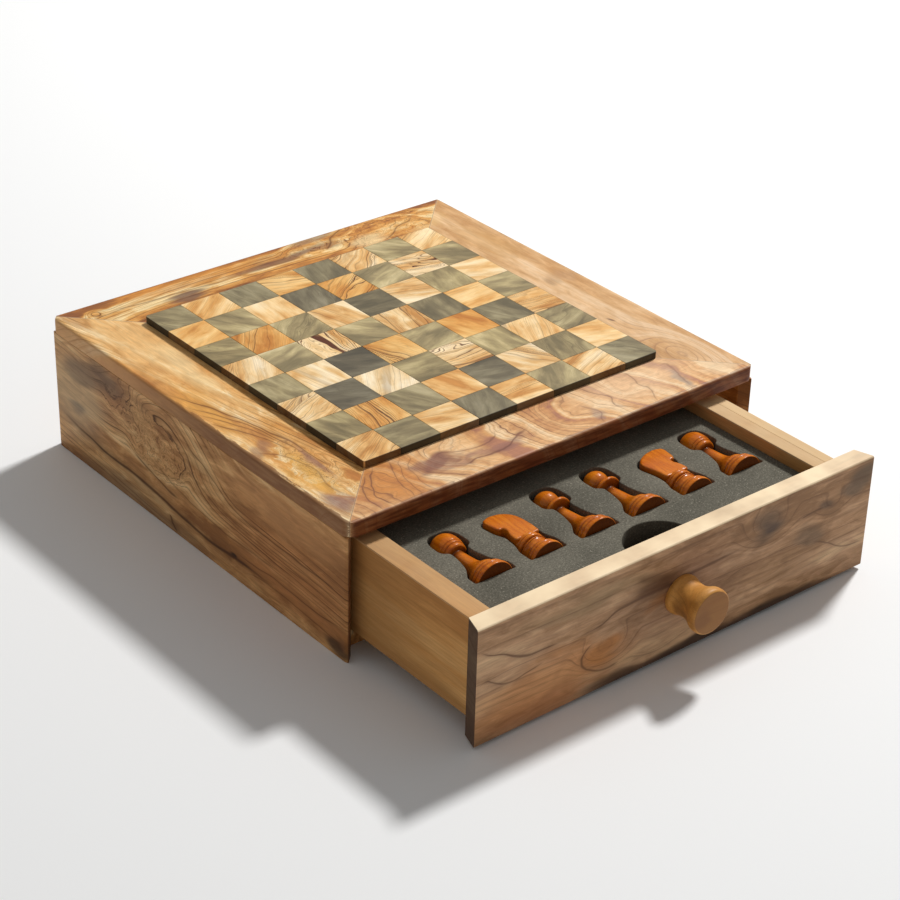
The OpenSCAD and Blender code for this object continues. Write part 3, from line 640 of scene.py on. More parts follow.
oliveBoards = {
    # Swirls across the board: orange arcs by the left mitre, a purple heart, thin lines on cream
    "front_top_board": {
        "turn": (0, 0, 0), "seed": (40, 20, 310), "flow": (1.0, 0.3, 0.3), "stretch": 0.9, "waveSize": 38,
        "waves": 34, "curlSize": 14, "curls": 8, "ringWidth": 4.6, "lineMost": 1.0, "fineLines": 0.5,
        "hills": [(-75, -6, 30, 26, 22), (15, -10, 24, 34, 16), (62, -8, 16, 26, 12)],
        "plain": [(95, -8, 60, 40, 0.4)], "contrast": 1.7, "mottle": 0.2, "ripple": 0.3, "patches": 0.3,
        "tones": [(0.32, "#b2795a"), (0.42, "#cc935e"), (0.54, "#e6b47c"), (0.68, "#f4d2a4")],
        "lineColour": "#683c30",
        "spots": [
            (-106, -2, 34, 38, "#d0863a", 0.7), (-74, -7, 23, 10, "#7c4c42", 0.85),
            (-60, -16, 20, 5, "#8c5c4c", 0.6), (-35, -13, 36, 6, "#96685a", 0.6),
            (-40, 4, 20, 7, "#e0a868", 0.5), (103, -16, 6, 16, "#8b847e", 0.65),
            (34, -20, 5, 11, "#a0887a", 0.6), (75, 0, 60, 32, "#f4d0a8", 0.45),
            (132, -14, 18, 16, "#e8c9a0", 0.7),
        ],
        "strokes": [
            (1.7, 0.8, [
                (-68, -20), (-55, -17.5), (-42, -17), (-30, -15.5), (-20, -11), (-10, -8.5), (-4, -5.5),
            ]),
            (1.2, 0.65, [(-74, -5), (-66, -1), (-58, -3), (-48, -6), (-38, -6.5), (-30, -3), (-22, 6)]),
            (1.6, 0.75, [(-86, -9), (-80, -14), (-74, -20), (-66, -28)]),
        ],
        "crossStrokes": [
            (1.4, 0.8, [(12, -99), (2, -111), (-8, -117), (-18, -119), (-30, -119)]),
            (1.0, 0.75, [(8, -108), (0, -118), (-10, -124), (-30, -128)]),
            (0.7, 0.65, [(12, -90), (0, -98), (-12, -103), (-30, -104)]),
            (0.7, 0.6, [(12, -85), (0, -93), (-14, -98), (-30, -99)]),
            (0.6, 0.55, [(12, -79), (0, -87), (-10, -91), (-30, -92)]),
            (1.2, 0.5, [(-3, 31), (-10, 34), (-18, 37), (-24, 33), (-30, 30)]),
            (0.9, 0.65, [(14, 44), (5, 47), (-3, 51), (-10, 54), (-17, 51), (-24, 55), (-30, 58)]),
            (1.4, 0.55, [(14, 76), (4, 81), (-4, 78), (-12, 79), (-20, 76), (-29, 73)]),
            (1.6, 0.5, [(8, 104), (0, 108), (-8, 106), (-16, 104), (-26, 101)]),
        ],
        "sideGround": ("#985020", 0.7), "sideColour": "#56260a", "sideShare": 0.9,
    },
    # Plain tan, with an oval figure at its front end
    "right_top_board": {
        "turn": (0, 0, 90), "seed": (120, 700, 30), "stretch": 0.3, "waves": 14, "curls": 3,
        "ringWidth": 4.2, "lineMost": 0.7, "contrast": 1.5, "fineLines": 0.25,
        "hills": [(-114, -9, 52, 26, 34)], "plain": [(40, 0, 125, 60, 0.9)], "ripple": 0.3,
        "tones": [(0.38, "#be8c56"), (0.48, "#cea06c"), (0.58, "#dab080"), (0.7, "#e4c096")],
        "lineColour": "#8a6048",
        "spots": [
            (-53, -1, 3.5, 3, "#75553c", 0.85), (8, -6, 12, 4, "#a07c54", 0.6),
            (10, -16, 10, 12, "#b98f66", 0.5), (75, -12, 44, 14, "#c69556", 0.5),
            (126, -6, 14, 16, "#e2b878", 0.5),
        ],
        "sideColour": "#7c5a38", "sideShare": 0.4,
    },
    # Long streaks of dark brown on golden orange, then tangled grain on cream
    "back_top_board": {
        "turn": (0, 0, 180), "seed": (500, -60, -120), "flow": (-0.03, 1.0, 0.35), "stretch": 0.3,
        "waveSize": 80, "waves": 34, "curls": 7, "ringWidth": 4.2, "lineShare": 0.95, "fineLines": 0.7,
        "contrast": 1.9, "hills": [(127, -18, 10, 8, 9)],
        "burls": [(-92, -12, 46, 32, 46), (-36, -18, 30, 14, 24)],
        "tones": [(0.3, "#8a5022"), (0.44, "#c88438"), (0.56, "#e4aa5c"), (0.7, "#f8daa0")],
        "lineColour": "#583014",
        "spots": [
            (60, -22, 80, 10, "#d68d38", 0.6), (-8, -13, 60, 7, "#6b4534", 0.8),
            (68, -4, 18, 5, "#684638", 0.85), (-42, -27, 28, 7, "#7c6456", 0.6),
            (-72, -4, 22, 14, "#efcf98", 0.85), (-112, 4, 12, 12, "#e8b878", 0.7),
        ],
        "strokes": [
            (1.8, 0.8, [(-70, -29), (-60, -23), (-52, -18), (-45, -12), (-38, -6)]),
            (1.4, 0.75, [(-118, -18), (-112, -12), (-104, -10), (-98, -8), (-90, -2), (-80, 3)]),
            (1.2, 0.7, [(-108, -28), (-106, -20), (-102, -14), (-96, -12), (-92, -6)]),
            (1.0, 0.7, [(30, -8), (55, -9.5), (85, -11), (105, -12), (124, -14)]),
        ],
        "sideColour": "#6a4630", "sideShare": 0.6,
    },
    # Curly cream and gold at the back, bright orange with a fan of dark lines, tangled at the front
    "left_top_board": {
        "turn": (0, 0, -90), "seed": (-300, 120, 55), "flow": (-0.2, 1.0, 0.35), "stretch": 0.35,
        "waveSize": 80, "waves": 14, "curls": 3, "ringWidth": 3.4, "lineShare": 0.95, "fineLines": 0.75,
        "hills": [(20, -34, 70, 26, 6)], "burls": [(95, -15, 56, 20, 42), (130, -6, 22, 22, 24)],
        "plain": [(-75, 4, 108, 40, 0.93)],
        "tones": [(0.3, "#ba783a"), (0.44, "#da9c54"), (0.56, "#eebc78"), (0.7, "#fae0b0")],
        "lineColour": "#683c18",
        "spots": [
            (-85, -4, 80, 30, "#e4b576", 0.65), (-45, -3, 50, 13, "#f4d49c", 0.65),
            (-22, -10, 26, 7, "#cf9c58", 0.5), (-138, -20, 24, 12, "#b17a40", 0.6),
            (-60, -24, 60, 5, "#c48d4c", 0.5), (5, -20, 42, 10, "#e6a850", 0.7),
            (62, -4, 60, 9, "#dc9a48", 0.5), (92, -14, 36, 11, "#e9b252", 0.65),
            (84, -5, 26, 5, "#8d655c", 0.7), (130, -20, 20, 11, "#8c6862", 0.8),
            (58, -23, 9, 9, "#946a52", 0.6),
        ],
        "strokes": [
            (1.2, 0.85, [(-28, -29), (-5, -19), (15, -12.5), (40, -7), (60, -3.5), (85, -1.5), (108, 3)]),
            (1.1, 0.8, [(-8, -29), (15, -17), (35, -10), (58, -6.5), (78, -5)]),
            (0.9, 0.75, [(5, -28), (22, -19), (45, -11), (62, -8)]),
            (1.0, 0.75, [(16, -29), (32, -20), (52, -13), (70, -9)]),
            (1.2, 0.6, [(55, -28), (66, -20), (80, -13), (95, -10), (112, -14), (128, -12)]),
        ],
        "sideFrom": -70, "sideTo": 30, "sideGround": ("#cb9560", 0.7), "sideColour": "#875a38",
        "sideShare": 0.85, "rimShare": 0.75,
    },
    # Lines arch over a tangled middle and run out level towards the front
    "left_side_panel": {
        "turn": (90, 0, 90), "seed": (80, 900, 140), "flow": (-0.07, 1.0, 0.35), "stretch": 0.28,
        "waveSize": 75, "waves": 14, "curls": 4, "ringWidth": 4.0, "lineShare": 0.95, "lineMost": 1.0,
        "fineLines": 0.75, "endGrainAndShade": ("Y", "#4a2e1c", 0.6), "hills": [(26, 42, 92, 64, -38)],
        "burls": [(36, 8, 38, 24, 30), (70, 22, 28, 20, 20)],
        "plain": [(-95, 27, 92, 21, 0.95), (128, 8, 44, 30, 0.75)],
        "tones": [(0.34, "#9c683a"), (0.45, "#c08a54"), (0.56, "#dba86e"), (0.7, "#efc68e")],
        "lineColour": "#462814",
        "spots": [
            (-100, -10, 80, 34, "#cf8c54", 0.55), (128, 4, 46, 36, "#c6a57a", 0.75),
            (118, 24, 26, 10, "#715d46", 0.65), (90, 29, 24, 11, "#6a5640", 0.6),
            (126, -4, 12, 6, "#80705c", 0.6), (52, 24, 26, 14, "#cb9c62", 0.5),
            (-95, 26, 80, 18, "#c48c58", 0.75), (-12, 20, 22, 7, "#dcb078", 0.6),
            (60, -38, 120, 12, "#64402a", 0.65), (-140, -34, 16, 10, "#2c1a10", 0.8),
            (-39, -26, 6, 4, "#24150c", 0.95),
        ],
        "strokes": [
            (2.6, 0.95, [
                (146, -12.5), (130, -15), (110, -17.5), (85, -19.5), (60, -20.5), (35, -22), (10, -24.5),
                (-15, -26), (-35, -26.5), (-60, -26), (-90, -28),
            ]),
            (1.4, 0.8, [(62, -3), (48, -7), (38, -11), (28, -13.5), (12, -15)]),
            (1.0, 0.6, [(50, 2), (36, -2), (20, -7), (0, -11), (-25, -13.5), (-60, -12.5), (-100, -13)]),
            (0.9, 0.75, [(-40, -21), (-65, -20.4), (-78, -18.6), (-92, -20), (-150, -19)]),
            (1.2, 0.75, [
                (24, 38), (8, 31), (0, 26), (-18, 19.5), (-30, 13), (-40, 8.5), (-55, 5), (-100, 3.2),
                (-150, 4),
            ]),
            (0.8, 0.6, [(28, 23), (10, 15), (-5, 7), (-20, 2), (-40, -3), (-70, -5), (-150, -6)]),
            (0.8, 0.55, [(-30, 0), (-60, -1), (-100, -1.5), (-150, -1)]),
            (1.0, 0.6, [(-50, -31), (-80, -27), (-110, -28), (-150, -30)]),
        ],
        "crossStrokes": [(2.0, 0.8, [(-28, 24), (-33, 21), (-39, 15)])],
    },
    "right_side_panel": {
        "turn": (90, 0, 90), "seed": (-500, 300, 240), "flow": (0.08, 1.0, 0.35), "waves": 30,
        "ringWidth": 4.5, "endGrainAndShade": ("Y", "#4a2e1c", 0.6), "hills": [(-30, -44, 90, 60, 34)],
        "burls": [(60, 10, 40, 26, 24)], "plain": [(-90, 20, 70, 24, 0.8)],
        "tones": [(0.34, "#9c683a"), (0.45, "#c08a54"), (0.56, "#dba86e"), (0.7, "#efc68e")],
        "lineColour": "#442817",
    },
    # Grey brown with few lines: two knots at the right, an orange oval at the left, a dark lower edge, and
    # painted shadow, reflection and shade round the knob
    "front_drawer_face": {
        "turn": (90, 0, 0), "seed": (260, 33, -410), "flow": (0.02, 1.0, 0.3), "stretch": 0.3,
        "waveSize": 60, "waves": 22, "curls": 5, "ringWidth": 7.0, "lineShare": 0.7, "lineMost": 0.45,
        "fineLines": 0.25, "cluster": 0.8,
        "hills": [
            (62, 20, 30, 20, 26), (-57, -12, 30, 18, 20), (114, 16, 18, 12, 12), (-20, -40, 70, 30, 10),
        ],
        "tones": [(0.34, "#9c7450"), (0.46, "#b88e68"), (0.56, "#caa07a"), (0.7, "#dab48a")],
        # The dark ends are end grain together with painted shade of the gap beside them
        "topEdge": ("#fde4bc", 0.95), "endGrainAndShade": ("X", "#2f1f15", 0.85), "lineColour": "#55382a",
        "spots": [
            (-95, -16, 80, 22, "#cc8a52", 0.75), (-110, -30, 50, 8, "#a86c44", 0.5),
            (-56, -11, 19, 11, "#c08048", 0.85), (62, 20, 17, 14, "#6c5643", 0.8),
            # Painted light round the knob: the dark spot up and to the left of it is its painted shadow,
            # the orange spot beside it is a painted reflection of the knob, and the broad dark cloud round
            # it is painted shade
            (62, 20, 8, 5, "#54433a", 0.7), (-22, 17, 24, 11, "#4e2c1a", 0.75),
            (-19, 4, 12, 6, "#b87840", 0.6), (0, 0, 75, 36, "#6e4e38", 0.35),
            (113, 17, 9, 7, "#685240", 0.75), (136, 24, 14, 13, "#6c5a48", 0.75),
            (96, 1, 14, 8, "#76604a", 0.65), (80, -12, 60, 12, "#a8825c", 0.4),
            (-70, 24, 60, 10, "#a48a66", 0.5), (30, -37, 150, 8, "#2e1f16", 0.9),
            (-30, -34, 60, 6, "#3a281c", 0.6),
        ],
        "strokes": [
            (1.6, 0.8, [(-145, 22), (-135, 17), (-128, 14), (-120, 10), (-110, 7), (-98, 6), (-86, 6)]),
            (1.3, 0.7, [(-145, 0), (-138, 3), (-134, 1), (-125, -3), (-110, -3), (-98, -1)]),
            (1.8, 0.75, [
                (-80, 4), (-60, 6), (-50, 10), (-40, 11), (-25, 11), (-10, 12), (10, 13), (25, 14),
                (46, 14),
            ]),
            (1.5, 0.7, [(88, 15), (100, 16), (108, 16)]),
            (1.3, 0.65, [(98, -3), (115, -10), (125, -15), (145, -19)]),
            (1.0, 0.5, [(28, -4), (45, 0), (70, 0), (92, 0)]),
            (2.0, 0.7, [(-72, -16), (-66, -21), (-56, -24), (-44, -23)]),
        ],
        "crossStrokes": [(2.2, 0.75, [(-3, -62), (-6, -69), (-12, -72), (-18, -70), (-23, -62)])],
    },
    "back_drawer_face": {
        "turn": (90, 0, 0), "seed": (-760, 433, 410), "waves": 30, "ringWidth": 6.5, "lineShare": 0.7,
        "lineMost": 0.6, "fineLines": 0.3, "hills": [(-40, 12, 34, 20, 24), (90, -10, 30, 18, 18)],
        "tones": [(0.34, "#9c7450"), (0.46, "#b88e68"), (0.56, "#caa07a"), (0.7, "#dab48a")],
        # The dark ends are end grain together with painted shade of the gap beside them
        "topEdge": ("#fde4bc", 0.95), "endGrainAndShade": ("X", "#2f1f15", 0.85), "lineColour": "#4e3224",
        "spots": [(-40, 12, 14, 9, "#68503c", 0.7), (0, -37, 150, 7, "#3a281c", 0.8)],
    },
    "base_panel": {"turn": (0, 0, 90), "seed": (300, -533, 210), "stretch": 0.3, "lineShare": 0.5},
}
# The mitre lies where |x| + y is 120, and the outer edge at y -30. The side face's own tone sets in
# between sideFrom and sideTo along the board
topBoardExtras = {
    "mitre": 120,
    "glue": [("#ead3ae", 1.0, 0.5, 0.25), ("#5a4030", 0.35, 0.12, 0.6)],  # (colour, from, to, share)
    "outer": -30,
    "slant": {"Rotation": (0, 0.6, 0), "Scale": (0.05, 0.3, 0.5)},
    "sideGround": ("#a4703c", 0.7), "sideFrom": -200, "sideTo": -160,
    "sideDepth": (1.6, 0.5),  # the side face's tone sets in between these distances from it
    "chips": 2.6, "chipsFrom": 0.4, "rimShare": 0.4,  # chips are up to so deep beyond chipsFrom
}
# The top's corners are worn round, most at the back left: (x, y, cut)
topCorners = [(-150, 150, 5.0), (150, 150, 3.0), (150, -150, 3.0), (-150, -150, 1.6)]
for node, look in oliveBoards.items():
    extras, corners = (topBoardExtras, topCorners) if node.endswith("top_board") else ({}, ())
    look = {**extras, **look, "halfHeight": halfHeight(node)}
    material = boardWood("oiled_olive_" + node, middleOf(node), **look)
    boardPiece(node, material, corners=corners)
print("olive boards made")

# Lime or poplar, planed and left plain: pale, even, hardly any figure, dry to the touch
plainLook = {
    "stretch": 0.12, "waveSize": 60, "waves": 6, "curlSize": 25, "curls": 1.5, "ringWidth": 3.4,
    "lineShare": 0.5, "lineMost": 0.25, "fineLines": 0.1, "patchSize": 45, "patches": 0.7,
    "rippleSize": 10, "ripple": 0.3, "fibre": 0.6,
    "tones": [(0.36, "#b5834c"), (0.5, "#c99a62"), (0.66, "#dcb27c")], "lineColour": "#9a6c3c",
    "topEdge": ("#e9cca0", 0.15), "contrast": 1.2, "roughness": 0.6, "relief": 0.3, "shine": 0.1,
}
wallTurns = {
    "drawer_left_wall": (90, 0, 90),
    "drawer_right_wall": (90, 0, 90),
    "drawer_slip": (90, 0, 90),
    "drawer_rear_wall": (90, 0, 0),
}
# The left wall is browner outside and darkens towards the rear with painted shade of the case; the right
# one is the paler
wallLooks = {
    "drawer_left_wall": {
        "topEdge": ("#e2c69c", 0.3), "tones": [(0.36, "#b67e46"), (0.5, "#ca9254"), (0.66, "#dca86a")],
        # The first cloud is painted shade of the case over the wall's rear part; the second darkens its
        # lower edge
        "spots": [(30, 0, 75, 60, "#96683a", 0.5), (-20, -30, 90, 12, "#966a40", 0.4)],
    },
    "drawer_right_wall": {"topEdge": ("#e2c8a0", 0.6)},
    "drawer_slip": {"topEdge": ("#e2c8a0", 0.6)},
}
for end in ends:
    for number, (wall, turn) in enumerate(wallTurns.items()):
        node = f"{end}_{wall}"
        look = {**plainLook, **wallLooks.get(wall, {}), "halfHeight": halfHeight(node)}
        look["seed"] = (130 * number, 40 * number, 77 * number + 700 * (end == "back"))
        material = boardWood("planed_pale_" + node, middleOf(node), turn, **look)
        boardPiece(node, material, sanding["wallEase"])
# Boards inside the case share one wood, whose upper edge is far off
innerWood = boardWood("planed_pale_inner", (0, 0, 0.05), (0, 0, 90), **{**plainLook, "halfHeight": 500})
innerNodes = ["bay_divider", "top_core"]
innerNodes += [end + part for end in ends for part in ("_guide_rail", "_drawer_bottom")]
for node in innerNodes:
    dress(frame["nodes"][node], innerWood)
print("drawer walls made")

playingBoard = {"pitch": 27.8, "side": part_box("light_squares")[1].x / mm, "ease": 0.18}
lightSquareLook = {
    "seed": (0, 0, 0), "stretch": 0.35, "waveSize": 60, "waves": 20, "curlSize": 16, "curls": 12,
    "ringWidth": 3.8, "lineShare": 0.9, "lineLeast": 0.15, "lineMost": 1.0, "cluster": 0.8,
    "fineLines": 0.9,
    "calmShare": 0.2,  # of the squares; the others' curls and lines grow from calm to lively times
    "calm": 0.0,
    "lively": 2.6,
    "reshuffle": (3.7, 5.3, 1.9),  # turns a cell's number into another, for a second draw
    "spread": 900,  # how far apart the squares' pieces of wood were sawn
    "rim": (0.55, 0.1),  # the dark rim sets in between these distances from the edge
    "patchSize": 24, "patches": 0.7, "rippleSize": 6, "ripple": 0.3, "fibre": 0.4, "contrast": 1.4,
    "tones": [(0.28, "#c98f4c"), (0.42, "#e4b676"), (0.56, "#f4d5a2"), (0.72, "#feebc8")],
    "lineColour": "#54290f",
    "tints": [(0.0, "#eecb84"), (0.25, "#fae2b4"), (0.55, "#fff4e0"), (1.0, "#ffffff")],
    "tintShare": 0.85, "rimColour": "#3a200e", "rimShare": 0.85,
}
darkSquareLook = {
    **lightSquareLook,
    "seed": (5, 9, 0),
    "tones": [(0.3, "#84775a"), (0.45, "#a1916f"), (0.57, "#bdad86"), (0.72, "#dccca6")],
    "lineColour": "#544a38", "ripple": 0.5, "lineLeast": 0.0, "lineMost": 0.3, "fineLines": 0.3,
    "patches": 0.8, "tints": [(0.0, "#8c8e96"), (0.25, "#b6b6b0"), (0.6, "#ebe4cc"), (1.0, "#fffcee")],
    "tintShare": 0.9, "rimColour": "#1a130b", "fibre": 0.3,
}
for node, finish, look in (
    ("light_squares", "oiled_olive_", lightSquareLook),
    ("dark_squares", "stained_olive_", darkSquareLook),
):
    material = squareWood(finish + node, playingBoard["pitch"], playingBoard["side"], **look)
    boardPiece(node, material, playingBoard["ease"])
print("playing board made")


# Chessmen


def lengthOf(node):
    # How long a man lies, from the frame
    low, high = closedBox(node)
    return high[1] - low[1]


rooksLow, rooksHigh = closedBox("front_rooks")
kingLow, kingHigh = closedBox("front_king")
pawnsLow, pawnsHigh = closedBox("front_pawns")
men = {
    "radius": (rooksHigh[2] - rooksLow[2]) / 2,
    "pawnRadius": (pawnsHigh[2] - pawnsLow[2]) / 2,
    "girth": 0.93,  # the turned foot is this much slimmer than its solid
    "headRadius": 9.0,
    "stem": 4.5,
    "pawnStem": 4.0,
    "bell": 24,  # height where the bell under the shoulder ends in the stem
    "pawnBell": 16,
    "bishopBall": 7.6,
    "pawnBall": 6.6,
    "pawnCollar": 7.5,
    "queenCrown": 10.4,
    "kingCrown": 10.6,
    "necks": {"rook": 32, "knight": 17, "bishop": 33.5, "queen": 37, "king": 40, "pawn": 20},
    "heights": {
        "rook": lengthOf("front_rooks"),
        "knight": lengthOf("front_knights"),
        "bishop": lengthOf("front_bishops"),
        "queen": lengthOf("front_queen"),
        "king": lengthOf("front_king"),
        "pawn": 36,
    },
    "inRow": 6,
    "around": 80,
    "hiddenAround": 40,
    "ballSteps": 10,
    "shoulder": 0.68,  # height of a foot's shoulder, in radii
    "smooth": 50,  # degrees up to which an edge is shaded smooth
}
row = {
    "kinds": ["rook", "knight", "bishop", "bishop", "knight", "rook"],
    "flips": [1, 1, 1, -1, -1, -1],  # the right half is the left one mirrored
    "first": rooksLow[0] + men["radius"],
    "pitch": (rooksHigh[0] - rooksLow[0] - 2 * men["radius"]) / (men["inRow"] - 1),
    "base": rooksLow[1],
    "axis": (rooksLow[2] + rooksHigh[2]) / 2,
}
lowerRow = {
    "base": kingLow[1],
    "axis": (kingLow[2] + kingHigh[2]) / 2,
    "pawnAxis": (pawnsLow[2] + pawnsHigh[2]) / 2,
    "pawnStep": pawnsHigh[1] - pawnsLow[1] - men["heights"]["pawn"],
    "pawns": 8,
    "pawnsAcross": 4,
    "firstPawn": 2,  # they lie from the row's third place on
}


def footLine(radius, stem, bellTop):
    # Rim, groove, round disc, and a full bell that sweeps in to the stem: (height, radius, rounding)
    shoulder = men["shoulder"] * radius
    return [
        (0, 0, 0),
        (0, radius, 0.7),
        (2.3, radius, 0.6),
        (2.8, radius * 0.945, 0.25),
        (3.4, radius * 0.93, 0.25),
        (3.9, radius * 0.955, 0.5),
        (shoulder * 0.66, radius * 0.94, 1.4),
        (shoulder * 0.82, radius * 0.78, 0.3),
        (shoulder * 0.95, radius * 0.79, 0.8),
        (shoulder * 1.22, radius * 0.74, 2.2),
        (shoulder * 1.52, stem + (radius - stem) * 0.3, 2.2),
        (shoulder + (bellTop - shoulder) * 0.55, stem * 1.12, 3.0),
        (bellTop, stem, 3.0),
    ]


def beadLine(radius, middle, thickness):
    # A round bead at its widest in the middle
    return [
        (middle - thickness / 2, radius - thickness * 0.42, 0.15),
        (middle - thickness * 0.36, radius, thickness * 0.3),
        (middle + thickness * 0.36, radius, thickness * 0.3),
        (middle + thickness / 2, radius - thickness * 0.42, 0.15),
    ]


def ballLine(radius, middle, first, last):
    # Part of a circle from one angle to the other: height = middle + radius sin a
    angle = np.radians(np.linspace(first, last, men["ballSteps"]))
    return [(middle + radius * math.sin(a), radius * math.cos(a), 0.2) for a in angle]


def topLine(kind, height):
    # What each man carries on its stem: (height, radius, rounding)
    neck, head, stem = men["necks"][kind], men["headRadius"], men["stem"]
    end = [(height, 0, 0)]
    stand = [(neck - 1, stem * 0.86, 0.8)] + beadLine(head, neck + 1, 2.4)
    if kind == "rook":
        return [
            (neck - 1.0, stem * 0.92, 0.4),
            (neck - 0.5, stem * 0.96, 0.2),
            (neck - 0.1, head * 0.74, 0.2),
            (neck + 0.5, head * 0.84, 0.5),
            (neck + 2.2, head * 0.87, 0.4),
            (neck + 2.5, head * 0.84, 0.15),
            (neck + 2.9, head * 0.92, 0.4),
            (neck + 4.2, head * 0.94, 0.4),
            (neck + 4.5, head * 0.91, 0.15),
            (neck + 4.9, head * 0.975, 0.5),
            (neck + 8, head, 1.5),
            (height - 5.2, head * 0.97, 3.2),
            (height - 0.6, head * 0.66, 3.4),
        ] + end
    if kind == "bishop":
        ball = men["bishopBall"]
        return stand + [(neck + 2.7, stem * 0.88, 0.5)] + ballLine(ball, height - ball, -50, 80) + end
    if kind == "queen":
        crown = men["queenCrown"]
        cup = [
            (neck + 3.2, stem * 1.0, 1.0),
            (height - 14, stem * 1.08, 4.0),
            (height - 8, crown, 0.6),
            (height - 6.4, crown - 0.1, 0.5),
            (height - 5, crown - 2.2, 0.6),
        ]
        return stand + cup + ballLine(4, height - 4, 5, 75) + end
    if kind == "king":
        crown = men["kingCrown"]
        cup = [
            (neck + 3.2, stem * 1.1, 1.0),
            (height - 17, stem * 1.16, 4.0),
            (height - 12, crown, 0.6),
            (height - 10, crown - 0.1, 0.6),
            (height - 8.4, crown - 3.2, 0.8),
            (height - 7.4, 2.6, 0.4),
            (height - 6, 2.2, 0.4),
        ]
        return stand + cup + ballLine(3.2, height - 3.2, -40, 75) + end
    stem, ball = men["pawnStem"], men["pawnBall"]
    stand = [(neck - 1, stem * 0.9, 0.6)] + beadLine(men["pawnCollar"], neck + 0.6, 1.9)
    return stand + [(neck + 2.0, stem * 0.96, 0.4)] + ballLine(ball, height - ball, -50, 80) + end


def turnedPoints(line, x, base, z, around):
    # A line of (height, radius) turned about an axis along +Y:
    # point = (x + radius cos a, base + height, z + radius sin a)
    angle = np.arange(around) * 2 * math.pi / around
    points = np.empty((len(line), around, 3))
    points[..., 0] = x + line[:, 1:] * np.cos(angle)
    points[..., 1] = base + line[:, :1]
    points[..., 2] = z + line[:, 1:] * np.sin(angle)
    return points


# How far and how dark the painted shade in a man's grooves and the stain on its foot reach, and the stain
# on a knight's sawn edges
grooves = {"reach": 1.6, "deepest": 2.4, "stainAndShade": 0.8, "sawnStain": 0.22}


def grooveShadeAndFootStain(line):
    # Painted shade where the radius stays below what stands within reach of it, and stain with painted
    # shade on the sawn foot
    near = np.abs(line[:, None, 0] - line[None, :, 0]) < grooves["reach"]
    crest = np.where(near, line[None, :, 1], 0).max(1)
    depth = np.clip((crest - line[:, 1]) / grooves["deepest"], 0, 1)
    return np.where(line[:, 0] < 0.05, 1, depth) * grooves["stainAndShade"]


def sizesOf(kind):
    # Radius of the foot and the stem, and height of the bell
    if kind == "pawn":
        return men["pawnRadius"] * men["girth"], men["pawnStem"], men["pawnBell"]
    return men["radius"] * men["girth"], men["stem"], men["bell"]


def turnedMan(name, kind, x, base, z, end, around):
    # The man's line turned about its own axis, with the grooves' painted shade and the foot's stain as an
    # attribute
    radius, stem, bell = sizesOf(kind)
    line = roundedLine(footLine(radius, stem, bell) + topLine(kind, men["heights"][kind]))
    points = toEnd(turnedPoints(line, x, base, z, around), end)
    stainAndShade = np.repeat(grooveShadeAndFootStain(line), around)
    bm = meshFrom(points.reshape(-1, 3), gridFaces(len(line), around), stainAndShade)
    return closedPiece(name, bm, men["smooth"])


knights = {
    "girth": 0.84, "stem": 8.4, "footTop": 12.6, "thickness": 16,
    "back": {1: 1.0, -1: 1.45},  # how broad the head is behind, for the left and the right knight
    "backFrom": 30, "edgeRound": 1.0, "edgeSteps": 5, "capSpacing": 1.2,
    # Outline of the sawn head seen from above, muzzle towards -x: (x, height, rounding)
    "head": [
        (8.4, 17.0, 2.0), (9.0, 25.0, 6.0), (8.2, 35.0, 4.0), (5.2, 40.2, 3.0), (0.5, 43.2, 2.5),
        (-6.0, 44.0, 1.5), (-10.8, 42.4, 1.2), (-11.8, 39.8, 1.0), (-10.6, 31.8, 1.6), (-9.2, 29.8, 0.8),
        (-6.8, 30.0, 0.8), (-6.2, 27.4, 1.2), (-8.2, 23.0, 3.0), (-8.6, 17.0, 2.0),
    ],
    # Two beads under it: (height, radius, rounding)
    "beads": [
        (12.4, 8.2, 0.6), (12.9, 8.0, 0.2), (13.3, 9.3, 0.7), (15.1, 9.6, 0.7), (15.5, 8.5, 0.2),
        (15.9, 9.0, 0.6), (17.9, 9.2, 0.7), (18.5, 7.6, 0.2), (18.6, 0, 0),
    ],
}


def offsetLoop(loop, distance):
    # Moves a closed counter-clockwise loop outward along the mean of its neighbours' normals
    before, after = np.roll(loop, 1, 0), np.roll(loop, -1, 0)
    along = after - before
    outward = np.stack([along[:, 1], -along[:, 0]], 1)
    outward /= np.maximum(np.linalg.norm(outward, axis=1), 1e-9)[:, None]
    return loop + outward * distance


def signedArea(loop):
    # Above 0 for a counter-clockwise loop
    after = np.roll(loop, -1, 0)
    return 0.5 * np.sum(loop[:, 0] * after[:, 1] - loop[:, 1] * after[:, 0])


def filledCap(loop, spacing):
    # Triangles over a loop, with an even grid of points inside it: a point is inside where a line from it
    # along +x crosses the loop an odd number of times
    low, high = loop.min(0), loop.max(0)
    gx, gy = np.meshgrid(np.arange(low[0], high[0], spacing), np.arange(low[1], high[1], spacing))
    inside = np.stack([gx.ravel(), gy.ravel()], 1)
    after = np.roll(loop, -1, 0)
    above = (loop[None, :, 1] > inside[:, None, 1]) != (after[None, :, 1] > inside[:, None, 1])
    slope = (after[:, 0] - loop[:, 0]) / np.where(after[:, 1] == loop[:, 1], 1e-9, after[:, 1] - loop[:, 1])
    crossing = loop[None, :, 0] + (inside[:, None, 1] - loop[None, :, 1]) * slope[None, :]
    kept = inside[(np.sum(above & (inside[:, None, 0] < crossing), 1) % 2) == 1]
    clear = np.min(np.linalg.norm(kept[:, None] - loop[None], axis=2), 1) > spacing * 0.55
    points = np.concatenate([loop, kept[clear]])
    number = np.arange(len(loop))
    ring = np.column_stack([number, np.roll(number, -1)])
    flat, _, faces, *_ = delaunay_2d_cdt(points.tolist(), ring.tolist(), [], 1, 1e-6)
    return np.array(flat), np.array(faces)


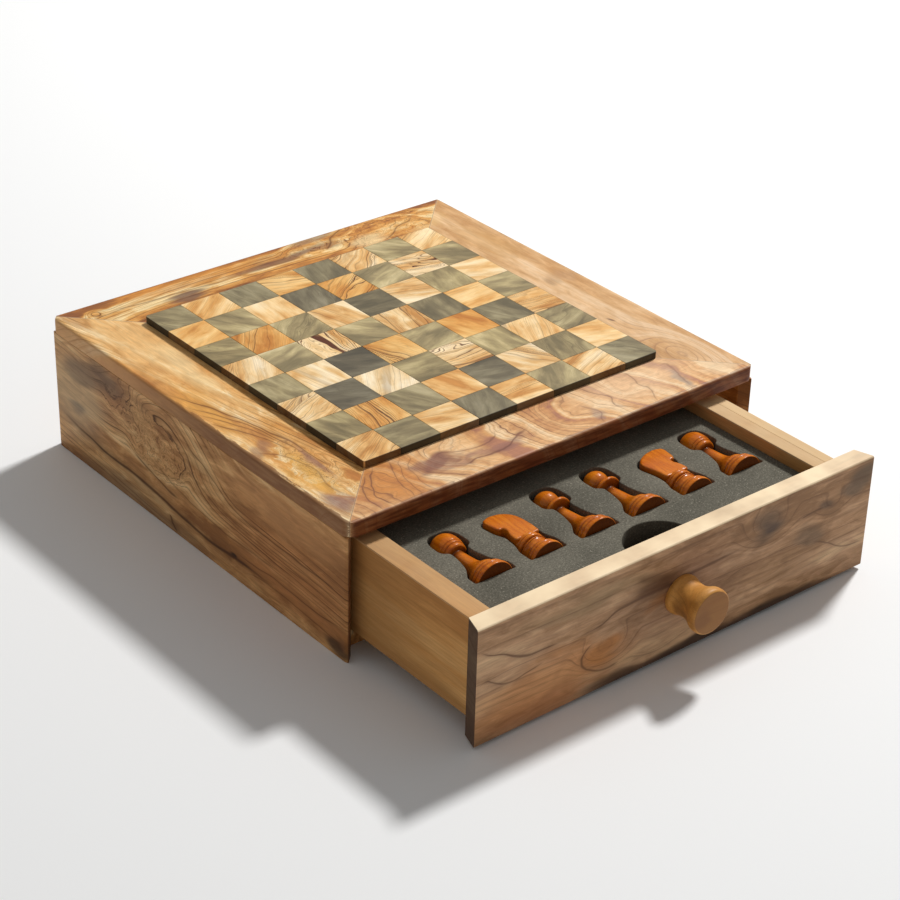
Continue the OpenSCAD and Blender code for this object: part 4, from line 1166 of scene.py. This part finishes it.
def knightMan(name, x, base, z, end, flip, around):
    # A turned foot with two beads, and a head sawn from a flat piece with its edges rounded off
    radius = men["radius"] * knights["girth"]
    line = roundedLine(footLine(radius, knights["stem"], knights["footTop"])[:-1] + knights["beads"])
    foot = turnedPoints(line, x, base, z, around).reshape(-1, 3)
    stainAndShade = np.repeat(grooveShadeAndFootStain(line), around)
    faces = gridFaces(len(line), around)
    corners = np.array(knights["head"])[::flip]
    behind = (corners[:, 0] > 0) & (corners[:, 1] > knights["backFrom"])
    corners[:, 0] *= np.where(behind, knights["back"][flip], 1) * flip
    loop = roundedLine(corners, True, loopSteps)
    half, soft = knights["thickness"] / 2, knights["edgeRound"]
    turn = np.linspace(0, math.pi / 2, knights["edgeSteps"])
    inset = -soft * (1 - np.sin(turn))
    level = half - soft + soft * np.cos(turn)
    inset, level = np.concatenate([inset, inset[::-1]]), np.concatenate([level, -level[::-1]])
    sides = [np.column_stack([offsetLoop(loop, i), np.full(len(loop), v)]) for i, v in zip(inset, level)]
    faces += gridFaces(len(sides), len(loop), len(foot))
    cap, capFaces = filledCap(sides[0][:, :2], knights["capSpacing"])
    tops = [np.column_stack([cap, np.full(len(cap), side * half)]) for side in (1, -1)]
    start = len(foot) + len(sides) * len(loop)
    faces += np.concatenate([capFaces + start, capFaces + start + len(cap)]).tolist()
    head = np.concatenate(sides + tops)
    place = np.column_stack([x + head[:, 0], base + head[:, 1], z + head[:, 2]])
    points = toEnd(np.concatenate([foot, place]), end)
    # The sawn end grain round the outline drinks more stain than the flat sides
    sawn = np.full(len(sides) * len(loop), grooves["sawnStain"])
    bm = meshFrom(points, faces, np.concatenate([stainAndShade, sawn, np.zeros(2 * len(cap))]))
    return closedPiece(name, bm, men["smooth"])


varnish = {
    "streaksPerMm": (0.55, 0.05, 0.55), "flecksPerMm": (2.6, 0.7, 2.6), "flecks": 0.35,
    "shader": {
        "Roughness": 0.42, "IOR": 1.5, "Specular IOR Level": 0.05,
        "Coat Weight": 0.27, "Coat Roughness": 0.2, "Coat IOR": 1.5,
    },
}


def varnishedWood(name, look):
    # Beech, turned, stained and varnished: fine grain along the man under a hard clear gloss
    material, tree = newMaterial(name)
    inMm = inMillimetres(tree)
    along = addNode(tree, "VectorMath", [inMm, varnish["streaksPerMm"]], operation="MULTIPLY")
    inputs = {"Vector": along, "Scale": 1.0, "Detail": 3.0, "Roughness": 0.6, "Distortion": 0.4}
    streak = addNode(tree, "TexNoise", inputs)
    broad = addNode(tree, "TexNoise", {"Vector": inMm, "Scale": 0.06, "Detail": 2.0})
    tone = addNode(tree, "Math", [streak, 0.7], operation="MULTIPLY")
    tone = addNode(tree, "Math", [broad, 0.3, tone], operation="MULTIPLY_ADD")
    colour = addNode(tree, "ValToRGB", [tone], stops=look["tones"])
    # Rays: short dark flecks that beech shows, drawn 1 mm long and coarser than real ones
    flecks = addNode(tree, "VectorMath", [inMm, varnish["flecksPerMm"]], operation="MULTIPLY")
    fleck = addNode(tree, "TexNoise", {"Vector": flecks, "Scale": 1.0, "Detail": 1.0})
    fleck = addNode(tree, "MapRange", [fleck, 0.6, 0.72, 0, varnish["flecks"]])
    # The attribute darkens the grooves with painted shade, the foot's end with stain and painted shade, and
    # a knight's sawn edges with stain
    stainAndShade = addNode(tree, "Attribute", attribute_name="stainAndShade").outputs["Fac"]
    for share in (fleck, stainAndShade):
        colour = addNode(tree, "MixRGB", [share, colour, linearColour(look["dark"])])
    bump = addNode(tree, "Bump", {"Height": streak, "Strength": 0.12, "Distance": 0.0001})
    shader = addNode(tree, "BsdfPrincipled", {"Base Color": colour, "Normal": bump, **varnish["shader"]})
    addNode(tree, "OutputMaterial", [shader])
    return material


menLooks = {
    "front": {"tones": [(0.3, "#b0520a"), (0.5, "#cc6c0e"), (0.7, "#de821a")], "dark": "#4c2009"},
    "back": {"tones": [(0.3, "#c99a5c"), (0.5, "#dcb578"), (0.7, "#e8c78e")], "dark": "#7d5128"},
}
across = row["first"] + row["pitch"] * np.arange(men["inRow"])
pawnPlaces = []
for i in range(lowerRow["pawns"]):
    line, column = divmod(i, lowerRow["pawnsAcross"])
    x = across[lowerRow["firstPawn"] + column]
    pawnPlaces.append((x, lowerRow["base"] + line * lowerRow["pawnStep"]))
for end in ends:
    wood = varnishedWood(f"varnished_beech_{end}_men", menLooks[end])
    for kind, flip, x in zip(row["kinds"], row["flips"], across):
        name = f"{end}_{kind}_{'left' if flip > 0 else 'right'}"
        if kind == "knight":
            man = knightMan(name, x, row["base"], row["axis"], end, flip, men["around"])
        else:
            man = turnedMan(name, kind, x, row["base"], row["axis"], end, men["around"])
        placePiece(man, f"{end}_{kind}s", wood)
    for kind, x in zip(("king", "queen"), across):
        name = f"{end}_{kind}_turned"
        man = turnedMan(name, kind, x, lowerRow["base"], lowerRow["axis"], end, men["hiddenAround"])
        placePiece(man, f"{end}_{kind}", wood)
    for number, (x, base) in enumerate(pawnPlaces, 1):
        name = f"{end}_pawn_{number}"
        man = turnedMan(name, "pawn", x, base, lowerRow["pawnAxis"], end, men["hiddenAround"])
        placePiece(man, f"{end}_pawns", wood)
print("chessmen turned")


# Knobs

knobLow, knobHigh = closedBox("front_knob")
knob = {
    "x": (knobLow[0] + knobHigh[0]) / 2,
    "z": (knobLow[2] + knobHigh[2]) / 2,
    "face": knobHigh[1],
    "radius": (knobHigh[0] - knobLow[0]) / 2,
    "length": knobHigh[1] - knobLow[1],
    "around": 112,
    "smooth": 50,
}


def knobLine(r, length):
    # Flange, hollow neck and a flared disc with a flat face: (height, radius, rounding)
    return [
        (0, 0, 0),
        (0, r * 0.86, 0.5),
        (2.0, r * 0.88, 0.8),
        (3.4, r * 0.85, 0.9),
        (5.4, r * 0.79, 1.6),
        (length * 0.4, r * 0.755, 2.6),
        (length * 0.56, r * 0.79, 2.6),
        (length * 0.7, r * 0.9, 1.6),
        (length * 0.78, r * 0.985, 0.8),
        (length * 0.83, r, 0.8),
        (length - 1.5, r, 0.8),
        (length - 0.3, r * 0.955, 0.6),
        (length, r * 0.9, 0.5),
        (length, 0, 0),
    ]


knobLook = {
    **woodLook,
    **plainLook,
    "stretch": 0.4, "waves": 12, "ringWidth": 2.6,
    "tones": [(0.3, "#b47834"), (0.55, "#ce9148"), (0.8, "#e2ac62")], "lineColour": "#7d5030",
    "spots": [(-6, -3, 7, 9, "#6b4224", 0.6)], "disc": ("#86582e", 0.75), "roughness": 0.45, "shine": 0.2,
}


def knobWood():
    # Pale wood turned on a lathe and oiled: straight lines across the disc, satin
    material, tree = newMaterial("turned_pale_knob")
    own, normal = ownFrame(tree, (knob["x"] * mm, 0, knob["z"] * mm), (90, 0, 0))
    colour, line, fibre = ringFigure(tree, own, knobLook)
    # The disc is end grain, which the oil darkens
    colour = edgeTone(tree, colour, facing(tree, normal, "Y", 0.85, 0.97), *knobLook["disc"])
    woodShader(tree, colour, line, fibre, knobLook)
    return material


def screwSteel():
    # Steel, zinc plated: pale grey, faintly mottled, half bright
    material, tree = newMaterial("zinc_plated_screw_steel")
    place = addNode(tree, "TexCoord").outputs["Object"]
    wear = addNode(tree, "TexNoise", {"Vector": place, "Scale": 900.0, "Detail": 2.0})
    rough = addNode(tree, "MapRange", [wear, 0.3, 0.7, 0.28, 0.42])
    tone = addNode(tree, "ValToRGB", [wear], stops=[(0.3, "#a9abad"), (0.7, "#c6c8ca")])
    steel = addNode(tree, "BsdfPrincipled", {"Base Color": tone, "Metallic": 1.0, "Roughness": rough})
    addNode(tree, "OutputMaterial", [steel])
    return material


turnedWood = knobWood()
zinc = screwSteel()
line = roundedLine(knobLine(knob["radius"], knob["length"]))
points = turnedPoints(line * [-1, 1], knob["x"], knob["face"], knob["z"], knob["around"])
for end in ends:
    bm = meshFrom(toEnd(points, end).reshape(-1, 3), gridFaces(len(line), knob["around"]))
    piece = closedPiece(end + "_knob_turned", bm, knob["smooth"])
    placePiece(piece, end + "_knob", turnedWood)
    dress(frame["nodes"][end + "_knob_screw"], zinc)
print("knobs turned")


# Foam

upperLow, upperHigh = closedBox("front_upper_foam")
foam = {
    "left": upperLow[0],
    "right": upperHigh[0],
    "front": upperLow[1],
    "back": upperHigh[1],
    "top": upperHigh[2],
    "between": upperLow[2],
    "under": closedBox("front_lower_foam")[0][2],
    "pocketFloor": row["axis"] - men["radius"] * men["girth"] - 0.3,
    "notchX": row["first"] + 2.5 * row["pitch"],  # in the middle of the row
    "notchY": closedBox("front_drawer_face")[1][1] + 2,
    "notchRadius": 22,
    "notchSteps": 48,
    "rim": 0.7,
    "rimSteps": 4,
    "gap": 1.0,
    "pawnHead": 7.6,  # half the width of a pawn's pocket round the collar, without the gap
    "smooth": 40,
    # Painted shade down the walls sets in over this depth below the top
    "shadeDepth": 3,
    "cellsPerMm": 1.4,  # cells are 0.2 mm in the real foam, and drawn at 0.7 mm so that they show
    "grainPerMm": 0.9,
    "cloudsPerMm": 0.03,
    "specksPerMm": 1.3,
    "tones": [(0.35, "#4a473d"), (0.55, "#656156"), (0.75, "#827c6e")],
    "specks": "#a39d8c",
    # Tone and share of the painted shade on the walls and pocket floors
    "cut": ("#171511", 0.95),
    "roughness": 0.95,
    "shine": 0.12,
    "relief": 0.5,
}


def pocketLoop(kind, head, gap):
    # Outline of a man's pocket: foot, stem and head with the gap round them, corners rounded
    radius, stem, bell = sizesOf(kind)
    neck, height = men["necks"][kind], men["heights"][kind]
    half = [
        (radius + gap, -0.3, 1.0),
        (radius + gap, radius * 0.5, 1.5),
        (radius * 0.8 + gap, radius * 0.78, 2.5),
        (stem + (radius - stem) * 0.3 + gap + 0.4, radius * 1.1, 4.0),
        (stem + gap + 0.4, bell, 4.0),
        (stem + gap + 0.2, neck - 1.5, 2.0),
        (head + gap, neck + 1, 2.5),
        (head + gap, height - 5, 5.0),
        (head * 0.6 + gap, height + gap, 4.0),
    ]
    mirrored = [(-x, y, r) for x, y, r in half[::-1]]
    return roundedLine(half + mirrored, True, loopSteps)


def knightLoop(flip, gap):
    # The same for a knight, with room round its head
    radius, head = men["radius"] * knights["girth"] + gap, men["headRadius"] + gap
    foot = men["radius"] * men["shoulder"]
    height, neck, back = men["heights"]["knight"], men["necks"]["knight"], knights["back"][flip]
    corners = [
        (radius, -0.3, 1.0),
        (radius, foot, 2.5),
        (head, neck - 1.5, 3.0),
        (9 + gap, neck + 8, 6.0),
        (8.2 * back + gap, height - 8, 4.0),
        (5.2 * back + gap, height - 3.0 + gap / 2, 3.0),
        (-6, height + gap, 4.0),
        (-10.8 - gap, height - 1.6 + gap / 2, 2.0),
        (-11.6 - gap, height - 4.4, 2.0),
        (-10.6 - gap, height - 13.2 - gap, 2.5),
        (-8.2 - gap, neck + 8, 2.5),
        (-8.2 - gap, neck + 5, 3.0),
        (-head, neck - 1.5, 3.0),
        (-radius, foot, 2.5),
        (-radius, -0.3, 1.0),
    ]
    return roundedLine([(x * flip, y, r) for x, y, r in corners][::flip], True, loopSteps)


def foamLayer(name, outer, pockets, low, high, pocketFloor, end):
    # Each loop is carried from the rounded rim down its wall; the caps are filled between the loops.
    # Rim ring at angle t: moved off the wall by rim (1 - sin t), at height rim (1 - cos t) below the top
    turn = np.linspace(0, math.pi / 2, foam["rimSteps"])
    shrink = foam["rim"] * (1 - np.sin(turn))
    level = high - foam["rim"] * (1 - np.cos(turn))
    points, faces, cut, count = [], [], [], 0
    for number, loop in enumerate([outer] + pockets):
        loop = loop if signedArea(loop) > 0 else loop[::-1]
        out = np.append(shrink if number else -shrink, 0)
        heights = np.append(level, low if number == 0 or pocketFloor is None else pocketFloor)
        for distance, height in zip(out, heights):
            points.append(np.column_stack([offsetLoop(loop, distance), np.full(len(loop), height)]))
        faces += gridFaces(len(heights), len(loop), count)
        count += len(heights) * len(loop)
        # Painted shade down each wall: none at the top, full from the shade depth below it
        cut.append(np.repeat(np.clip((high - heights) / foam["shadeDepth"], 0, 1), len(loop)))
    bm = meshFrom(toEnd(np.concatenate(points), end), faces, np.concatenate(cut))
    for height in {high, low, pocketFloor or low}:
        rims = [e for e in bm.edges if e.is_boundary and abs(e.verts[0].co.z - height * mm) < mergeDistance]
        bmesh.ops.triangle_fill(bm, edges=rims, use_beauty=True)
    return closedPiece(name, bm, foam["smooth"])


foamCorners = [
    (foam["right"], foam["front"]),
    (foam["right"], foam["back"]),
    (foam["left"], foam["back"]),
    (foam["left"], foam["front"]),
]


def notchedOutline():
    # The layer's rectangle with the round finger notch cut into its front edge
    radius, depth = foam["notchRadius"], foam["front"] - foam["notchY"]
    reach = math.sqrt(radius**2 - depth**2)
    start, stop = math.atan2(depth, -reach) + 2 * math.pi, math.atan2(depth, reach)
    angle = np.linspace(start, stop, foam["notchSteps"])
    arc = [foam["notchX"] + radius * np.cos(angle), foam["notchY"] + radius * np.sin(angle)]
    return np.concatenate([np.column_stack(arc), foamCorners])


def foamStuff():
    # Cross-linked polyethylene foam, sliced and cut: dark, dead matt, with fine cells and pale specks
    material, tree = newMaterial("sliced_foam_charcoal")
    inMm = inMillimetres(tree)
    cells = addNode(tree, "TexVoronoi", {"Vector": inMm, "Scale": foam["cellsPerMm"]}, feature="F1")
    inputs = {"Vector": inMm, "Scale": foam["grainPerMm"], "Detail": 4.0, "Roughness": 0.7}
    grain = addNode(tree, "TexNoise", inputs)
    clouds = addNode(tree, "TexNoise", {"Vector": inMm, "Scale": foam["cloudsPerMm"], "Detail": 2.0})
    tone = addNode(tree, "Math", [grain, 0.75], operation="MULTIPLY")
    tone = addNode(tree, "Math", [clouds, 0.35, tone], operation="MULTIPLY_ADD")
    colour = addNode(tree, "ValToRGB", [tone], stops=foam["tones"])
    specks = addNode(tree, "TexNoise", {"Vector": inMm, "Scale": foam["specksPerMm"], "Detail": 1.0})
    speck = addNode(tree, "MapRange", [specks, 0.64, 0.72, 0, 0.6])
    colour = addNode(tree, "MixRGB", [speck, colour, linearColour(foam["specks"])])
    # Walls and floors of the pockets were cut with a hot wire; they and the layers' outer walls darken with
    # depth below the top as painted shade
    stainAndShade = addNode(tree, "Attribute", attribute_name="stainAndShade").outputs["Fac"]
    colour = edgeTone(tree, colour, stainAndShade, *foam["cut"])
    relief = addNode(tree, "Math", [cells, 0.6, grain], operation="MULTIPLY_ADD")
    bump = addNode(tree, "Bump", {"Height": relief, "Strength": foam["relief"], "Distance": 0.0003})
    inputs = {
        "Base Color": colour,
        "Roughness": foam["roughness"],
        "Specular IOR Level": foam["shine"],
        "Normal": bump,
    }
    shader = addNode(tree, "BsdfPrincipled", inputs)
    addNode(tree, "OutputMaterial", [shader])
    return material


charcoalFoam = foamStuff()
loops = {}
for kind, head in (
    ("rook", men["headRadius"]),
    ("bishop", men["headRadius"]),
    ("king", men["kingCrown"]),
    ("queen", men["queenCrown"]),
    ("pawn", foam["pawnHead"]),
):
    loops[kind] = pocketLoop(kind, head, foam["gap"])
upperPockets = []
for kind, flip, x in zip(row["kinds"], row["flips"], across):
    loop = knightLoop(flip, foam["gap"]) if kind == "knight" else loops[kind]
    upperPockets.append(loop + [x, row["base"]])
lowerPockets = [loops[kind] + [x, lowerRow["base"]] for x, kind in zip(across, ("king", "queen"))]
lowerPockets += [loops["pawn"] + place for place in pawnPlaces]
layers = {
    "upper_foam": (notchedOutline(), upperPockets, foam["between"], foam["top"], foam["pocketFloor"]),
    "lower_foam": (np.roll(foamCorners, 1, 0), lowerPockets, foam["under"], foam["between"], None),
}
for end in ends:
    for layer, shape in layers.items():
        node = f"{end}_{layer}"
        piece = foamLayer(node + "_cut", *shape, end)
        placePiece(piece, node, charcoalFoam)
print("foam cut")
